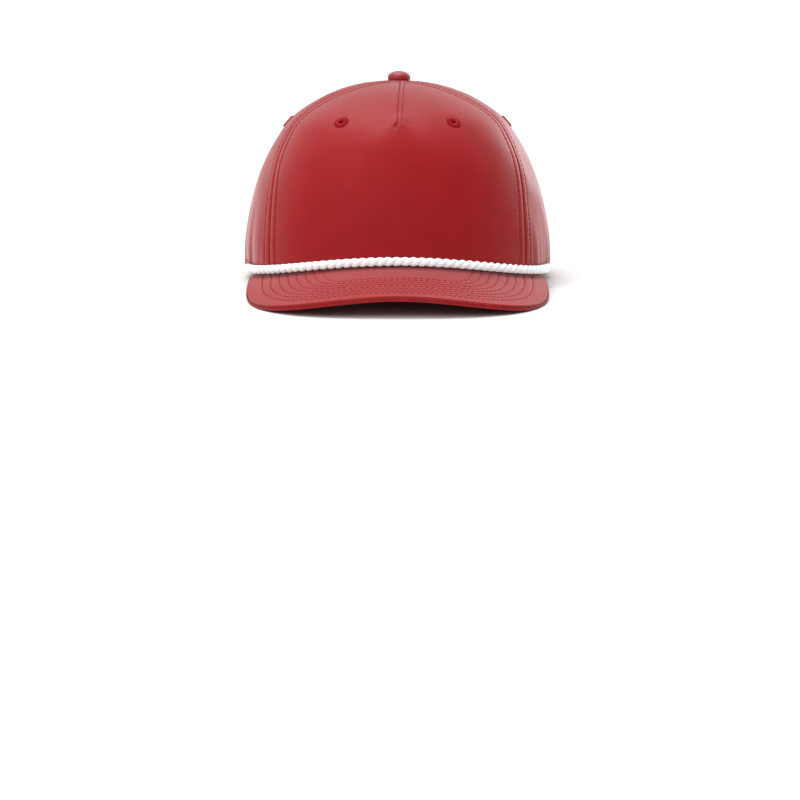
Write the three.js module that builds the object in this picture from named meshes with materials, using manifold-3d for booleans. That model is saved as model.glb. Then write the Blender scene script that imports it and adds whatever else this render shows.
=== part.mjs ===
// A five-panel snapback cap with a corded visor, standing on a table the way it stands by itself:
// on the two front corners of the visor and on the back of the rim.
// Millimetres, +Z up. The visor points along -Y, and the origin is on the table, under the middle
// of the cap. The crown is worked out from a short table of sections, and everything else that
// touches it takes its place from the same surface. Angles are in degrees, counted from the front.

import * as THREE from 'three';
import { mergeVertices } from 'three/addons/utils/BufferGeometryUtils.js';
import Module from 'manifold-3d';

const wasm = await Module();
wasm.setup();

// Driving dimensions

const CROWN_WIDTH = 178;        // outside, across the rim
const CROWN_LENGTH = 200;       // outside, front to back at the rim
const CROWN_HEIGHT = 108;       // from the rim at the sides to the top of the cloth
const PANEL_WALL = 2;           // cloth with its backing
const CLEARANCE = 0.3;          // between pieces that are sewn together
const LINING_CLEARANCE = 0.5;   // between the panels and what hangs inside them
const LEAN_BACK = 3.2;          // angle that the crown leans back as the cap stands
const REAR_SEAM_ANGLE = 118;    // seam between side panel and back panel
const SETTLE_START = 105;       // where the rim starts down to the table
const SETTLE_END = 130;         // where it begins to lie flat on it

const DART_DEPTH = 1.2;         // crease down the middle of the front panel
const DART_SPREAD = 4;          // half of the crease's width, as an angle
const DART_END = 0.766;         // share of the crown's height where the crease runs out

const VISOR_HALF_WIDTH = 84;
const VISOR_REACH = 168;        // from the middle of the crown to the visor's front edge
const VISOR_CORNER_DEPTH = 108; // length over which the visor's outline rounds off
const VISOR_SIDE_DEPTH = 400;   // the same towards the back, where the sides run nearly straight
const VISOR_SQUARENESS = 3.2;   // 2 gives an ellipse, more gives squarer corners
const VISOR_THICKNESS = 3;
const VISOR_END_ANGLE = 62;     // where the visor ends on the rim
const VISOR_TIP_TAPER = 3;      // angle that the side edge meets the rim ahead of that
const VISOR_ARCH = 8.2;         // rise of the crown's rim over the visor
const VISOR_FRONT_RISE = 9;     // rise of the front edge between the visor's corners
const VISOR_END_RISE = 2.6;     // rise of the side edge from corner to end
const VISOR_CORNER_SHARE = 0.5; // share of the edge, from middle to end, where the corner is lowest

const CORD_DIAMETER = 4.6;
const CORD_END_ANGLE = 66;

const BUTTON_RADIUS = 6.5;
const BUTTON_HEIGHT = 5.4;
const BUTTON_FULLNESS = 0.6;    // under 1 makes the button's sides steeper

const EYELET_RADIUS = 4.1;
const EYELET_HOLE_RADIUS = 1.2;
const EYELET_BARREL_RADIUS = 2.2;
const EYELET_FLANGE = 0.7;
const FRONT_EYELET_HEIGHT = 85; // above the rim, measured along the crown
const SIDE_EYELET_HEIGHT = 84.5;
const FRONT_EYELET_SHARE = 0.44; // place between the middle of the front panel and its seam

const BAND_HEIGHT = 32;
const BAND_WALL = 1.5;
const BAND_LIFT = 0.5;          // the sweatband's lower edge above the rim
const BAND_END_ANGLE = 139;

const OPENING_HALF_WIDTH = 48;
const OPENING_HEIGHT = 48;

const STRAP_WIDTH = 19;
const STRAP_WALL = 1.3;
const STRAP_LIFT = 1;           // the straps' lower edges above the rim
const STRAP_TUCK = 10;          // length of strap sewn in behind each side of the opening
const STRAP_END = 7;            // from the last hole or peg to the strap's free end
const STRAP_SINK = 0.7;         // the outer strap's face behind the cloth's outer face
const PEG_PITCH = 9.5;
const PEGS_ENGAGED = 4;
const PEG_RADIUS = 1.8;
const PEG_LENGTH = 2.6;
const PEG_HOLE_RADIUS = 2.2;

// The crown from rim to top. height is a share of the crown's height, side, front and back are
// shares of half its width and half its length, square is the exponent of the front half's
// outline, and seam is the front panel's edge as an angle.
const SECTIONS = [
  { height: 0.00, side: 1.000, front: 1.000, back: 1.000, square: 2.20, seam: 48.0 },
  { height: 0.15, side: 0.995, front: 0.995, back: 0.995, square: 2.20, seam: 48.6 },
  { height: 0.30, side: 0.965, front: 0.980, back: 0.965, square: 2.22, seam: 49.8 },
  { height: 0.45, side: 0.917, front: 0.955, back: 0.912, square: 2.26, seam: 51.8 },
  { height: 0.58, side: 0.857, front: 0.915, back: 0.830, square: 2.32, seam: 54.0 },
  { height: 0.70, side: 0.777, front: 0.850, back: 0.730, square: 2.38, seam: 55.5 },
  { height: 0.80, side: 0.689, front: 0.750, back: 0.620, square: 2.42, seam: 56.5 },
  { height: 0.88, side: 0.558, front: 0.600, back: 0.480, square: 2.38, seam: 55.0 },
  { height: 0.94, side: 0.415, front: 0.430, back: 0.340, square: 2.28, seam: 51.5 },
  { height: 0.98, side: 0.250, front: 0.245, back: 0.200, square: 2.12, seam: 48.5 },
  { height: 1.00, side: 0.045, front: 0.040, back: 0.040, square: 2.00, seam: 47.0 },
];
const BACK_SQUARE = 2.1;        // exponent of the back half's outline

// Soft upright folds low in the side panels. angle and spread are angles, depth at the rim is a
// share of the crown's width, and top is the share of the crown's height where the fold has gone.
const FOLDS = [
  { angle: 67, spread: 5, depth: 0.0050, top: 0.42 },
  { angle: 80, spread: 6, depth: 0.0060, top: 0.50 },
  { angle: 97, spread: 7, depth: 0.0045, top: 0.36 },
];

// How finely the solids are divided

const CROWN_ROWS = 15;
const FRONT_COLUMNS = 18;
const SIDE_COLUMNS = 15;
const BACK_COLUMNS = 10;
const VISOR_COLUMNS = 28;
const VISOR_ROWS = 5;
const CORD_SIDES = 8;
const CORD_STEPS = 44;
const BAND_COLUMNS = 44;
const BAND_ROWS = 2;
const STRAP_COLUMNS = 16;
const STRAP_ROWS = 6;
const HOLE_SIDES = 12;
const BUTTON_SIDES = 20;
const DOME_STEPS = 5;
const OPENING_STEPS = 12;

// Colour and sheen of each material

const cloth = { color: 0xa81c22, roughness: 0.7, metalness: 0 };
const thread = { color: 0x98181c, roughness: 0.6, metalness: 0 };
const cordWhite = { color: 0xf4f4f2, roughness: 0.8, metalness: 0 };
const bandCloth = { color: 0x8f171b, roughness: 0.85, metalness: 0 };
const plastic = { color: 0x9c171c, roughness: 0.4, metalness: 0 };

const { degToRad, radToDeg, lerp, smoothstep } = THREE.MathUtils;
const UP = new THREE.Vector3(0, 1, 0);
const lean = degToRad(LEAN_BACK);
const cosOf = (angle) => Math.cos(degToRad(angle));
const sinOf = (angle) => Math.sin(degToRad(angle));

// The crown's surface. level runs from 0 at the rim to 1 at the top, evenly through SECTIONS.

function sectionAt(level) {
  const last = SECTIONS.length - 1;
  const start = Math.min(Math.floor(level * last), last - 1);
  const part = level * last - start;
  const section = {};
  for (const column of Object.keys(SECTIONS[0])) {
    const from = SECTIONS[start][column];
    const to = SECTIONS[start + 1][column];
    const before = start > 0 ? SECTIONS[start - 1][column] : 2 * from - to;
    const after = start < last - 1 ? SECTIONS[start + 2][column] : 2 * to - from;
    section[column] = smoothBetween(from, to, (to - before) / 2, (after - from) / 2, part);
  }
  return section;
}

function smoothBetween(from, to, slope, nextSlope, part) {
  const square = part * part;
  const cube = square * part;
  return from * (2 * cube - 3 * square + 1) + slope * (cube - 2 * square + part)
    + to * (3 * square - 2 * cube) + nextSlope * (cube - square);
}

function levelAtHeight(height) {
  const precision = 1e-5;
  let low = 0;
  let high = 1;
  while (high - low > precision) {
    const middle = (low + high) / 2;
    if (sectionAt(middle).height * CROWN_HEIGHT < height) low = middle;
    else high = middle;
  }
  return low;
}

function radiusAt(section, angle) {
  const atFront = Math.abs(angle) <= 90;
  const reach = (atFront ? section.front : section.back) * CROWN_LENGTH / 2;
  const width = section.side * CROWN_WIDTH / 2;
  const power = atFront ? section.square : BACK_SQUARE;
  const across = Math.abs(sinOf(angle)) / width;
  const along = Math.abs(cosOf(angle)) / reach;
  return (across ** power + along ** power) ** (-1 / power);
}

function foldDepth(angle, height) {
  let depth = 0;
  for (const fold of FOLDS) {
    const share = (Math.abs(angle) - fold.angle) / fold.spread;
    const fade = Math.max(0, 1 - height / fold.top);
    depth += fold.depth * CROWN_WIDTH * fade * Math.exp(-share * share);
  }
  return depth;
}

function dartDepth(angle, height) {
  const along = (height - DART_END) / (1 - DART_END);
  const across = 1 - Math.abs(angle) / DART_SPREAD;
  if (along < 0 || across < 0) return 0;
  return DART_DEPTH * across * Math.sin(Math.PI * along);
}

// The rim arches up over the visor, and its back settles down onto the table.
function rimHeight(angle) {
  const turn = Math.abs(angle);
  if (turn < VISOR_END_ANGLE) return VISOR_ARCH * cosOf(90 * turn / VISOR_END_ANGLE) ** 2;
  const back = -radiusAt(SECTIONS[0], angle) * cosOf(angle);
  const table = -(CROWN_LENGTH / 2 - back) * Math.tan(lean);
  return table * smoothstep(turn, SETTLE_START, SETTLE_END);
}

// Turns a point of the upright crown about the back of the rim, so that the crown leans back.
function settled(x, y, z) {
  const forward = CROWN_LENGTH / 2 - y;
  return new THREE.Vector3(
    x,
    CROWN_LENGTH / 2 - forward * Math.cos(lean) + z * Math.sin(lean),
    z * Math.cos(lean) + forward * Math.sin(lean),
  );
}

function crownPoint(angle, level, outward = 0, lift = 0) {
  const section = sectionAt(level);
  const radius = radiusAt(section, angle) - foldDepth(angle, section.height) + outward;
  const rim = rimHeight(angle);
  const height = rim + (CROWN_HEIGHT - rim) * section.height - dartDepth(angle, section.height);
  return settled(radius * sinOf(angle), -radius * cosOf(angle), height + lift);
}

function crownNormal(angle, level) {
  const turn = 0.5;
  const rise = 0.01;
  const along = crownPoint(angle + turn, level).sub(crownPoint(angle - turn, level));
  const up = crownPoint(angle, Math.min(1, level + rise)).sub(crownPoint(angle, Math.max(0, level - rise)));
  return along.cross(up).normalize();
}

function levelNormal(angle, level) {
  return crownNormal(angle, level).setZ(0).normalize();
}

// The cloth's inside. At the rim it stays as high as the outside, so that the edge is level.
function crownInside(angle, level) {
  const normal = level === 0 ? levelNormal(angle, level) : crownNormal(angle, level);
  return crownPoint(angle, level).addScaledVector(normal, -PANEL_WALL);
}

// A point inside the crown at a height above the rim, so far in from the cloth's outer face.
function liningPoint(angle, height, inset) {
  const level = levelAtHeight(height);
  return crownPoint(angle, level).addScaledVector(levelNormal(angle, level), -inset);
}

// Closed solids

function grid(rows, columns, pointAt) {
  return Array.from({ length: rows + 1 }, (_, row) =>
    Array.from({ length: columns + 1 }, (__, column) => pointAt(row / rows, column / columns)));
}

// Two grids of points become one closed wall, the first grid being its outside.
function wallBetween(outside, inside) {
  const rows = outside.length;
  const columns = outside[0].length;
  const top = rows - 1;
  const end = columns - 1;
  const index = [];
  const outer = (row, column) => row * columns + column;
  const inner = (row, column) => (rows + row) * columns + column;
  const quad = (a, b, c, d) => index.push(a, b, c, a, c, d);
  for (let row = 0; row < top; row += 1) {
    for (let column = 0; column < end; column += 1) {
      quad(outer(row, column), outer(row, column + 1), outer(row + 1, column + 1), outer(row + 1, column));
      quad(inner(row, column), inner(row + 1, column), inner(row + 1, column + 1), inner(row, column + 1));
    }
    quad(inner(row, 0), outer(row, 0), outer(row + 1, 0), inner(row + 1, 0));
    quad(outer(row, end), inner(row, end), inner(row + 1, end), outer(row + 1, end));
  }
  for (let column = 0; column < end; column += 1) {
    quad(inner(0, column), inner(0, column + 1), outer(0, column + 1), outer(0, column));
    quad(outer(top, column), outer(top, column + 1), inner(top, column + 1), inner(top, column));
  }
  const positions = [...outside.flat(), ...inside.flat()].flatMap((point) => point.toArray());
  const geometry = new THREE.BufferGeometry();
  geometry.setAttribute('position', new THREE.Float32BufferAttribute(positions, 3));
  geometry.setIndex(index);
  return geometry;
}

function solidOf(geometry) {
  const bare = geometry.clone();
  bare.deleteAttribute('normal');
  bare.deleteAttribute('uv');
  const merged = mergeVertices(bare);
  return new wasm.Manifold(new wasm.Mesh({
    numProp: 3,
    vertProperties: new Float32Array(merged.attributes.position.array),
    triVerts: new Uint32Array(merged.index.array),
  }));
}

function geometryOf(solid) {
  const mesh = solid.getMesh();
  const geometry = new THREE.BufferGeometry();
  geometry.setAttribute('position', new THREE.Float32BufferAttribute(mesh.vertProperties, 3));
  geometry.setIndex([...mesh.triVerts]);
  return geometry;
}

// Moves a shape made along +Y so that it stands at a point and looks along a direction.
function placed(geometry, point, direction) {
  geometry.applyQuaternion(new THREE.Quaternion().setFromUnitVectors(UP, direction));
  geometry.translate(point.x, point.y, point.z);
  return geometry;
}

// A round bar along a direction, from a depth below a point to a length above it.
function bar(point, direction, radius, depth, length) {
  const geometry = new THREE.CylinderGeometry(radius, radius, depth + length, HOLE_SIDES);
  geometry.translate(0, (length - depth) / 2, 0);
  return solidOf(placed(geometry, point, direction));
}

function turned(profile, sides) {
  return new THREE.LatheGeometry(profile.map(([radius, height]) => new THREE.Vector2(radius, height)), sides);
}

function piece(name, geometry, finish) {
  geometry.computeVertexNormals();
  const mesh = new THREE.Mesh(geometry, new THREE.MeshStandardMaterial(finish));
  mesh.name = name;
  return mesh;
}

// Eyelets, each in a hole of its own through the cloth

const frontEyeletLevel = levelAtHeight(FRONT_EYELET_HEIGHT);
const sideEyeletLevel = levelAtHeight(SIDE_EYELET_HEIGHT);
const eyelets = {
  front: { level: frontEyeletLevel, angle: sectionAt(frontEyeletLevel).seam * FRONT_EYELET_SHARE },
  side: { level: sideEyeletLevel, angle: (sectionAt(sideEyeletLevel).seam + REAR_SEAM_ANGLE) / 2 },
  back: { level: sideEyeletLevel, angle: (REAR_SEAM_ANGLE + 180) / 2 },
};

function withEyeletHole(solid, eyelet, side) {
  const angle = side * eyelet.angle;
  const reach = PANEL_WALL * 2;
  const point = crownPoint(angle, eyelet.level);
  const normal = crownNormal(angle, eyelet.level);
  return solid.subtract(bar(point, normal, EYELET_BARREL_RADIUS + CLEARANCE, reach, reach));
}

function makeEyelet(place, side, sideName) {
  const eyelet = eyelets[place];
  const angle = side * eyelet.angle;
  const top = CLEARANCE + EYELET_FLANGE;
  const shoulder = CLEARANCE + EYELET_FLANGE / 2;
  const profile = [
    [EYELET_HOLE_RADIUS, -PANEL_WALL],
    [EYELET_BARREL_RADIUS, -PANEL_WALL],
    [EYELET_BARREL_RADIUS, CLEARANCE],
    [EYELET_RADIUS, CLEARANCE],
    [EYELET_RADIUS, shoulder],
    [EYELET_RADIUS - EYELET_FLANGE, top],
    [EYELET_HOLE_RADIUS + EYELET_FLANGE, top],
    [EYELET_HOLE_RADIUS, shoulder],
    [EYELET_HOLE_RADIUS, -PANEL_WALL],
  ];
  const geometry = placed(turned(profile, HOLE_SIDES),
    crownPoint(angle, eyelet.level), crownNormal(angle, eyelet.level));
  return piece(`eyelet_${place}_${sideName}`, geometry, thread);
}

// The crown's panels. Their edges are functions that give an angle for a level.

function panelSolid(columns, fromEdge, toEdge) {
  const angleAt = (level, share) => {
    const from = fromEdge(level);
    const to = toEdge(level);
    const halfGap = (edge) => radToDeg(CLEARANCE / 2 / radiusAt(sectionAt(level), edge));
    return lerp(from + halfGap(from), to - halfGap(to), share);
  };
  const outside = grid(CROWN_ROWS, columns, (level, share) => crownPoint(angleAt(level, share), level));
  const inside = grid(CROWN_ROWS, columns, (level, share) => crownInside(angleAt(level, share), level));
  return solidOf(wallBetween(outside, inside));
}

function openingHalfWidthAt(height) {
  return OPENING_HALF_WIDTH * Math.sqrt(1 - (height / OPENING_HEIGHT) ** 2);
}

// A bar of the back opening's arched outline, running through the back of the crown.
function openingSolid() {
  const outline = new THREE.Shape();
  outline.moveTo(-OPENING_HALF_WIDTH, -OPENING_HEIGHT);
  outline.lineTo(OPENING_HALF_WIDTH, -OPENING_HEIGHT);
  outline.lineTo(OPENING_HALF_WIDTH, 0);
  outline.absellipse(0, 0, OPENING_HALF_WIDTH, OPENING_HEIGHT, 0, Math.PI);
  const depth = CROWN_LENGTH / 2;
  const geometry = new THREE.ExtrudeGeometry(outline,
    { depth, bevelEnabled: false, curveSegments: OPENING_STEPS });
  geometry.rotateX(Math.PI / 2);
  geometry.translate(0, CROWN_LENGTH / 2 + depth / 2, 0);
  return solidOf(geometry);
}

function makeFrontPanel() {
  const seam = (level) => sectionAt(level).seam;
  const whole = panelSolid(FRONT_COLUMNS, (level) => -seam(level), seam);
  const holed = withEyeletHole(withEyeletHole(whole, eyelets.front, -1), eyelets.front, 1);
  return piece('front_panel', geometryOf(holed), cloth);
}

function makeSidePanel(side, sideName) {
  const front = (level) => side * sectionAt(level).seam;
  const rear = () => side * REAR_SEAM_ANGLE;
  const whole = side > 0 ? panelSolid(SIDE_COLUMNS, front, rear) : panelSolid(SIDE_COLUMNS, rear, front);
  return piece(`side_panel_${sideName}`, geometryOf(withEyeletHole(whole, eyelets.side, side)), cloth);
}

function makeBackPanel(side, sideName) {
  const seam = () => side * REAR_SEAM_ANGLE;
  const middle = () => side * 180;
  const whole = side > 0 ? panelSolid(BACK_COLUMNS, seam, middle) : panelSolid(BACK_COLUMNS, middle, seam);
  const holed = withEyeletHole(whole, eyelets.back, side).subtract(openingSolid());
  return piece(`back_panel_${sideName}`, geometryOf(holed), cloth);
}

// The covered button, with a stem that goes down between the tips of the panels

function makeButton() {
  const stem = SECTIONS.at(-1).front * CROWN_LENGTH / 2 - 2 * CLEARANCE;
  const brim = 2 * CLEARANCE;
  const profile = [[0, -PANEL_WALL], [stem, -PANEL_WALL], [stem, CLEARANCE], [BUTTON_RADIUS - brim, CLEARANCE]];
  for (let step = 0; step <= DOME_STEPS; step += 1) {
    const angle = 90 * step / DOME_STEPS;
    const radius = step < DOME_STEPS ? BUTTON_RADIUS * cosOf(angle) ** BUTTON_FULLNESS : 0;
    profile.push([radius, lerp(CLEARANCE + brim, BUTTON_HEIGHT, sinOf(angle))]);
  }
  const top = settled(0, 0, CROWN_HEIGHT);
  const axis = settled(0, 0, CROWN_HEIGHT + 1).sub(top);
  return piece('top_button', placed(turned(profile, BUTTON_SIDES), top, axis), cloth);
}

// The visor, an upper and a lower half sewn together along their edge.
// across runs from -1 at the left end to 1 at the right end.

const visorCentre = VISOR_CORNER_DEPTH - VISOR_REACH;

function visorEndTurn() {
  const end = crownPoint(VISOR_END_ANGLE - VISOR_TIP_TAPER, 0);
  return radToDeg(Math.atan2(end.x, visorCentre - end.y));
}

function visorEdge(across) {
  const turn = visorEndTurn() * across;
  const depth = cosOf(turn) > 0 ? VISOR_CORNER_DEPTH : VISOR_SIDE_DEPTH;
  const wide = Math.abs(sinOf(turn)) / VISOR_HALF_WIDTH;
  const deep = Math.abs(cosOf(turn)) / depth;
  const radius = (wide ** VISOR_SQUARENESS + deep ** VISOR_SQUARENESS) ** (-1 / VISOR_SQUARENESS);
  const share = Math.abs(across);
  const rise = share < VISOR_CORNER_SHARE
    ? VISOR_FRONT_RISE * cosOf(90 * share / VISOR_CORNER_SHARE) ** 2
    : VISOR_END_RISE * sinOf(90 * (share - VISOR_CORNER_SHARE) / (1 - VISOR_CORNER_SHARE)) ** 2;
  return new THREE.Vector3(radius * sinOf(turn), visorCentre - radius * cosOf(turn), VISOR_THICKNESS + rise);
}

function visorRoot(across) {
  return crownPoint(VISOR_END_ANGLE * across, 0, -PANEL_WALL, -CLEARANCE);
}

// A slice of the visor between two depths below its top face.
function visorHalf(name, topDepth, bottomDepth) {
  const faceAt = (depth) => grid(VISOR_ROWS, VISOR_COLUMNS, (inward, share) => {
    const across = lerp(-1, 1, share);
    const point = visorEdge(across).lerp(visorRoot(across), inward);
    return point.setZ(point.z - depth);
  });
  return piece(name, wallBetween(faceAt(topDepth), faceAt(bottomDepth)), cloth);
}

function makeVisor() {
  const half = (VISOR_THICKNESS - CLEARANCE) / 2;
  return [
    visorHalf('visor_upper', 0, half),
    visorHalf('visor_lower', VISOR_THICKNESS - half, VISOR_THICKNESS),
  ];
}

// The cord along the corner between crown and visor

class CordPath extends THREE.Curve {
  getPoint(share, target = new THREE.Vector3()) {
    const angle = lerp(-CORD_END_ANGLE, CORD_END_ANGLE, share);
    const radius = CORD_DIAMETER / 2;
    return target.copy(crownPoint(angle, 0, radius + CLEARANCE, radius));
  }
}

function makeCord() {
  const corners = Array.from({ length: CORD_SIDES }, (_, side) => {
    const turn = 360 * side / CORD_SIDES;
    return new THREE.Vector2(CORD_DIAMETER / 2 * cosOf(turn), CORD_DIAMETER / 2 * sinOf(turn));
  });
  const options = { steps: CORD_STEPS, bevelEnabled: false, extrudePath: new CordPath() };
  return piece('visor_rope', new THREE.ExtrudeGeometry(new THREE.Shape(corners), options), cordWhite);
}

// The sweatband, inside the rim from one side of the back opening round to the other

function makeSweatband() {
  const faceAt = (inset) => grid(BAND_ROWS, BAND_COLUMNS, (rise, share) => liningPoint(
    lerp(-BAND_END_ANGLE, BAND_END_ANGLE, share), BAND_LIFT + BAND_HEIGHT * rise, inset));
  const outer = PANEL_WALL + LINING_CLEARANCE;
  return piece('sweatband', wallBetween(faceAt(outer), faceAt(outer + BAND_WALL)), bandCloth);
}

// The two plastic straps across the back opening. Their places are lengths along the crown from
// the middle of the back, growing towards the left side of the cap. The strap with holes comes
// from the left and lies outside, and the strap with pegs comes from the right.

const strapMiddle = STRAP_LIFT + STRAP_WIDTH / 2;
const lastEngaged = PEG_PITCH * (PEGS_ENGAGED - 1) / 2;
const freeEnd = lastEngaged + STRAP_END;
const sewnEnd = OPENING_HALF_WIDTH + STRAP_TUCK;
const innerInset = PANEL_WALL + LINING_CLEARANCE;

function strapAngle(place) {
  return 180 + radToDeg(place / (CROWN_LENGTH / 2));
}

// The outer strap lies in the opening and slips in behind the cloth at its side.
function outerInset(place) {
  const slipStart = freeEnd + STRAP_END / 2;
  const slipEnd = openingHalfWidthAt(STRAP_LIFT + STRAP_WIDTH) - STRAP_LIFT;
  return lerp(STRAP_SINK, innerInset, smoothstep(place, slipStart, slipEnd));
}

// A strip with a round free end. side is 1 for the strap that comes from the left.
function strapSolid(side, insetAt) {
  const round = STRAP_WIDTH / 2;
  const faceAt = (depth) => grid(STRAP_ROWS, STRAP_COLUMNS, (rise, share) => {
    const height = round * (1 - cosOf(180 * rise));
    const end = -freeEnd + round * (1 - sinOf(180 * rise));
    const place = side * (side > 0 ? lerp(end, sewnEnd, share) : lerp(sewnEnd, end, share));
    return liningPoint(strapAngle(place), STRAP_LIFT + height, insetAt(place) + depth);
  });
  return solidOf(wallBetween(faceAt(0), faceAt(STRAP_WALL)));
}

// Places of the pegs or holes, from the free end to the side of the opening.
function strapPlaces(side) {
  const limit = openingHalfWidthAt(strapMiddle + PEG_RADIUS) - PEG_RADIUS - CLEARANCE;
  const places = [];
  for (let place = -lastEngaged; place <= limit; place += PEG_PITCH) places.push(side * place);
  return places;
}

function strapBar(place, inset, radius, depth, length) {
  const angle = strapAngle(place);
  const direction = levelNormal(angle, levelAtHeight(strapMiddle));
  return bar(liningPoint(angle, strapMiddle, inset), direction, radius, depth, length);
}

function makeHoleStrap() {
  let strap = strapSolid(1, outerInset);
  for (const place of strapPlaces(1)) {
    const reach = STRAP_WALL * 2;
    strap = strap.subtract(strapBar(place, outerInset(place), PEG_HOLE_RADIUS, reach, reach));
  }
  return piece('snap_strap_holes', geometryOf(strap), plastic);
}

function makePegStrap() {
  let strap = strapSolid(-1, () => innerInset);
  for (const place of strapPlaces(-1)) {
    strap = strap.add(strapBar(place, innerInset, PEG_RADIUS, STRAP_WALL / 2, PEG_LENGTH));
  }
  return piece('snap_strap_pegs', geometryOf(strap), plastic);
}

// The whole cap, moved so that its box is centred over the origin and stands on the table

const cap = new THREE.Group();
cap.add(makeFrontPanel());
for (const [side, sideName] of [[-1, 'left'], [1, 'right']]) {
  cap.add(makeSidePanel(side, sideName));
  cap.add(makeBackPanel(side, sideName));
  for (const place of Object.keys(eyelets)) cap.add(makeEyelet(place, side, sideName));
}
cap.add(makeButton(), ...makeVisor(), makeCord(), makeSweatband(), makeHoleStrap(), makePegStrap());

const box = new THREE.Box3().setFromObject(cap);
cap.position.set(0, -(box.min.y + box.max.y) / 2, -box.min.z);

export default cap;
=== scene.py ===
# A five-panel snapback cap with a corded visor, standing on a pale floor.
# Metres, +Z up, the visor towards -Y. Angles round the crown are in degrees from the front, and
# level runs up the crown from 0 at the rim to 1 at the top.

import math

import bpy
import numpy as np
from mathutils import Matrix, Vector


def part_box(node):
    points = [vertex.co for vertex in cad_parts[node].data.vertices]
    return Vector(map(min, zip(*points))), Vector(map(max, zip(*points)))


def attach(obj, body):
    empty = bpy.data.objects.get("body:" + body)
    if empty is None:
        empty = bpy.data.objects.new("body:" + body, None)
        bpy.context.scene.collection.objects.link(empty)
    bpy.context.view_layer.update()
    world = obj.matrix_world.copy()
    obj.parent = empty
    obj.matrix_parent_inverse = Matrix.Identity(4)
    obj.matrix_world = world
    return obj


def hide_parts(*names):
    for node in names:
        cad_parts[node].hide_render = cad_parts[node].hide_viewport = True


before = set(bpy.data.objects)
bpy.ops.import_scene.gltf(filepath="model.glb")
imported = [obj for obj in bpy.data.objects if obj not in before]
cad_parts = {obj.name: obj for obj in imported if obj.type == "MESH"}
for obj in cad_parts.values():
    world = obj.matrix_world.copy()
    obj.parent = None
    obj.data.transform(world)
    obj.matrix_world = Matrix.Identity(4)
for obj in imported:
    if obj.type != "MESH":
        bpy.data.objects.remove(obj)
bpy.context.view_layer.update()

bl_info = {
    "name": "Snapback Cap",
    "version": (1, 0, 0),
    "blender": (4, 5, 0),
    "location": "3D View > Sidebar > Cap",
    "description": "Models a five-panel snapback cap with a corded visor",
    "category": "Add Mesh",
}

MM = 0.001
BODY = "root"

# The crown from rim to top. height is a share of the crown's height, side, front and back are
# shares of half its width and half its length, square is the exponent of the front half's
# outline, and seam is the front panel's edge as an angle.
SECTION_COLUMNS = ("height", "side", "front", "back", "square", "seam")
SECTIONS = np.array([
    (0.00, 1.000, 1.000, 1.000, 2.20, 48.0),
    (0.15, 0.995, 0.995, 0.995, 2.20, 48.6),
    (0.30, 0.965, 0.980, 0.965, 2.22, 49.8),
    (0.45, 0.917, 0.955, 0.912, 2.26, 51.8),
    (0.58, 0.857, 0.915, 0.830, 2.32, 54.0),
    (0.70, 0.777, 0.850, 0.730, 2.38, 55.5),
    (0.80, 0.689, 0.750, 0.620, 2.42, 56.5),
    (0.88, 0.558, 0.600, 0.480, 2.38, 55.0),
    (0.94, 0.415, 0.430, 0.340, 2.28, 51.5),
    (0.98, 0.250, 0.245, 0.200, 2.12, 48.5),
    (1.00, 0.045, 0.040, 0.040, 2.00, 47.0),
])
BACK_SQUARE = 2.1
REAR_SEAM_ANGLE = 118

# Soft upright folds low in the side panels: angle, spread, depth at the rim as a share of the
# crown's width, and the share of the crown's height where the fold has gone.
FOLDS = (
    (67, 5, 0.0050, 0.42),
    (80, 6, 0.0060, 0.50),
    (97, 7, 0.0045, 0.36),
)

SETTLE_START = 105      # where the rim starts down to the table
SETTLE_END = 130        # where it begins to lie flat on it
VISOR_END_ANGLE = 62    # where the visor ends on the rim
VISOR_TIP_TAPER = 3     # angle that the side edge meets the rim ahead of that
CORD_END_ANGLE = 66     # where the rope ends on the rim
BAND_END_ANGLE = 139    # where the sweatband ends, beside the back opening

CLEARANCE = 0.3 * MM    # from the crown to the visor and to the rope
LINING_GAP = 0.5 * MM   # from the crown to the sweatband and to the straps in it
SEAM_GAP = 0.08 * MM    # between a seam and the edge of each panel in it
SEAM_STITCH = 5.4 * MM  # from a seam to the stitching beside it
HEM_STITCH = 5.0 * MM   # from the rim to its stitching
ARCH_STITCHES = (2.4 * MM, 6.4 * MM)    # from the back arch to its two rows of stitching
DART_START = 0.766      # share of the crown's height where the dart begins
DART_STITCH = 2.6 * MM  # from the dart's fold to its stitching
ROW_GROOVE = 0.14 * MM  # how far the visor's stitching draws its cover down
UNDER_RELIEF = 0.8      # relief of the visor's underside as a share of its top's

# How the cloth rises and falls beside a line that is sewn or folded: each ridge's distance from
# the line, its spread and its height. A negative height is a groove, as at a row of stitching.
SEAM_RIDGES = (
    (0, 0.5 * MM, -0.95 * MM),
    (2.8 * MM, 1.9 * MM, 0.22 * MM),
    (SEAM_STITCH, 0.7 * MM, -0.16 * MM),
)
HEM_RIDGES = (
    (0, 0.8 * MM, -0.9 * MM),
    (2.4 * MM, 1.2 * MM, 0.12 * MM),
    (HEM_STITCH, 0.7 * MM, -0.16 * MM),
)
ARCH_RIDGES = (
    (0, 0.9 * MM, -0.9 * MM),
    (4.4 * MM, 1.4 * MM, 0.2 * MM),
    (ARCH_STITCHES[0], 0.6 * MM, -0.32 * MM),
    (ARCH_STITCHES[1], 0.6 * MM, -0.32 * MM),
)
DART_RIDGES = (
    (0, 0.6 * MM, -0.45 * MM),
    (0, 7 * MM, -0.35 * MM),
    (1.4 * MM, 0.8 * MM, 0.30 * MM),
    (DART_STITCH, 0.6 * MM, -0.20 * MM),
)

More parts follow.
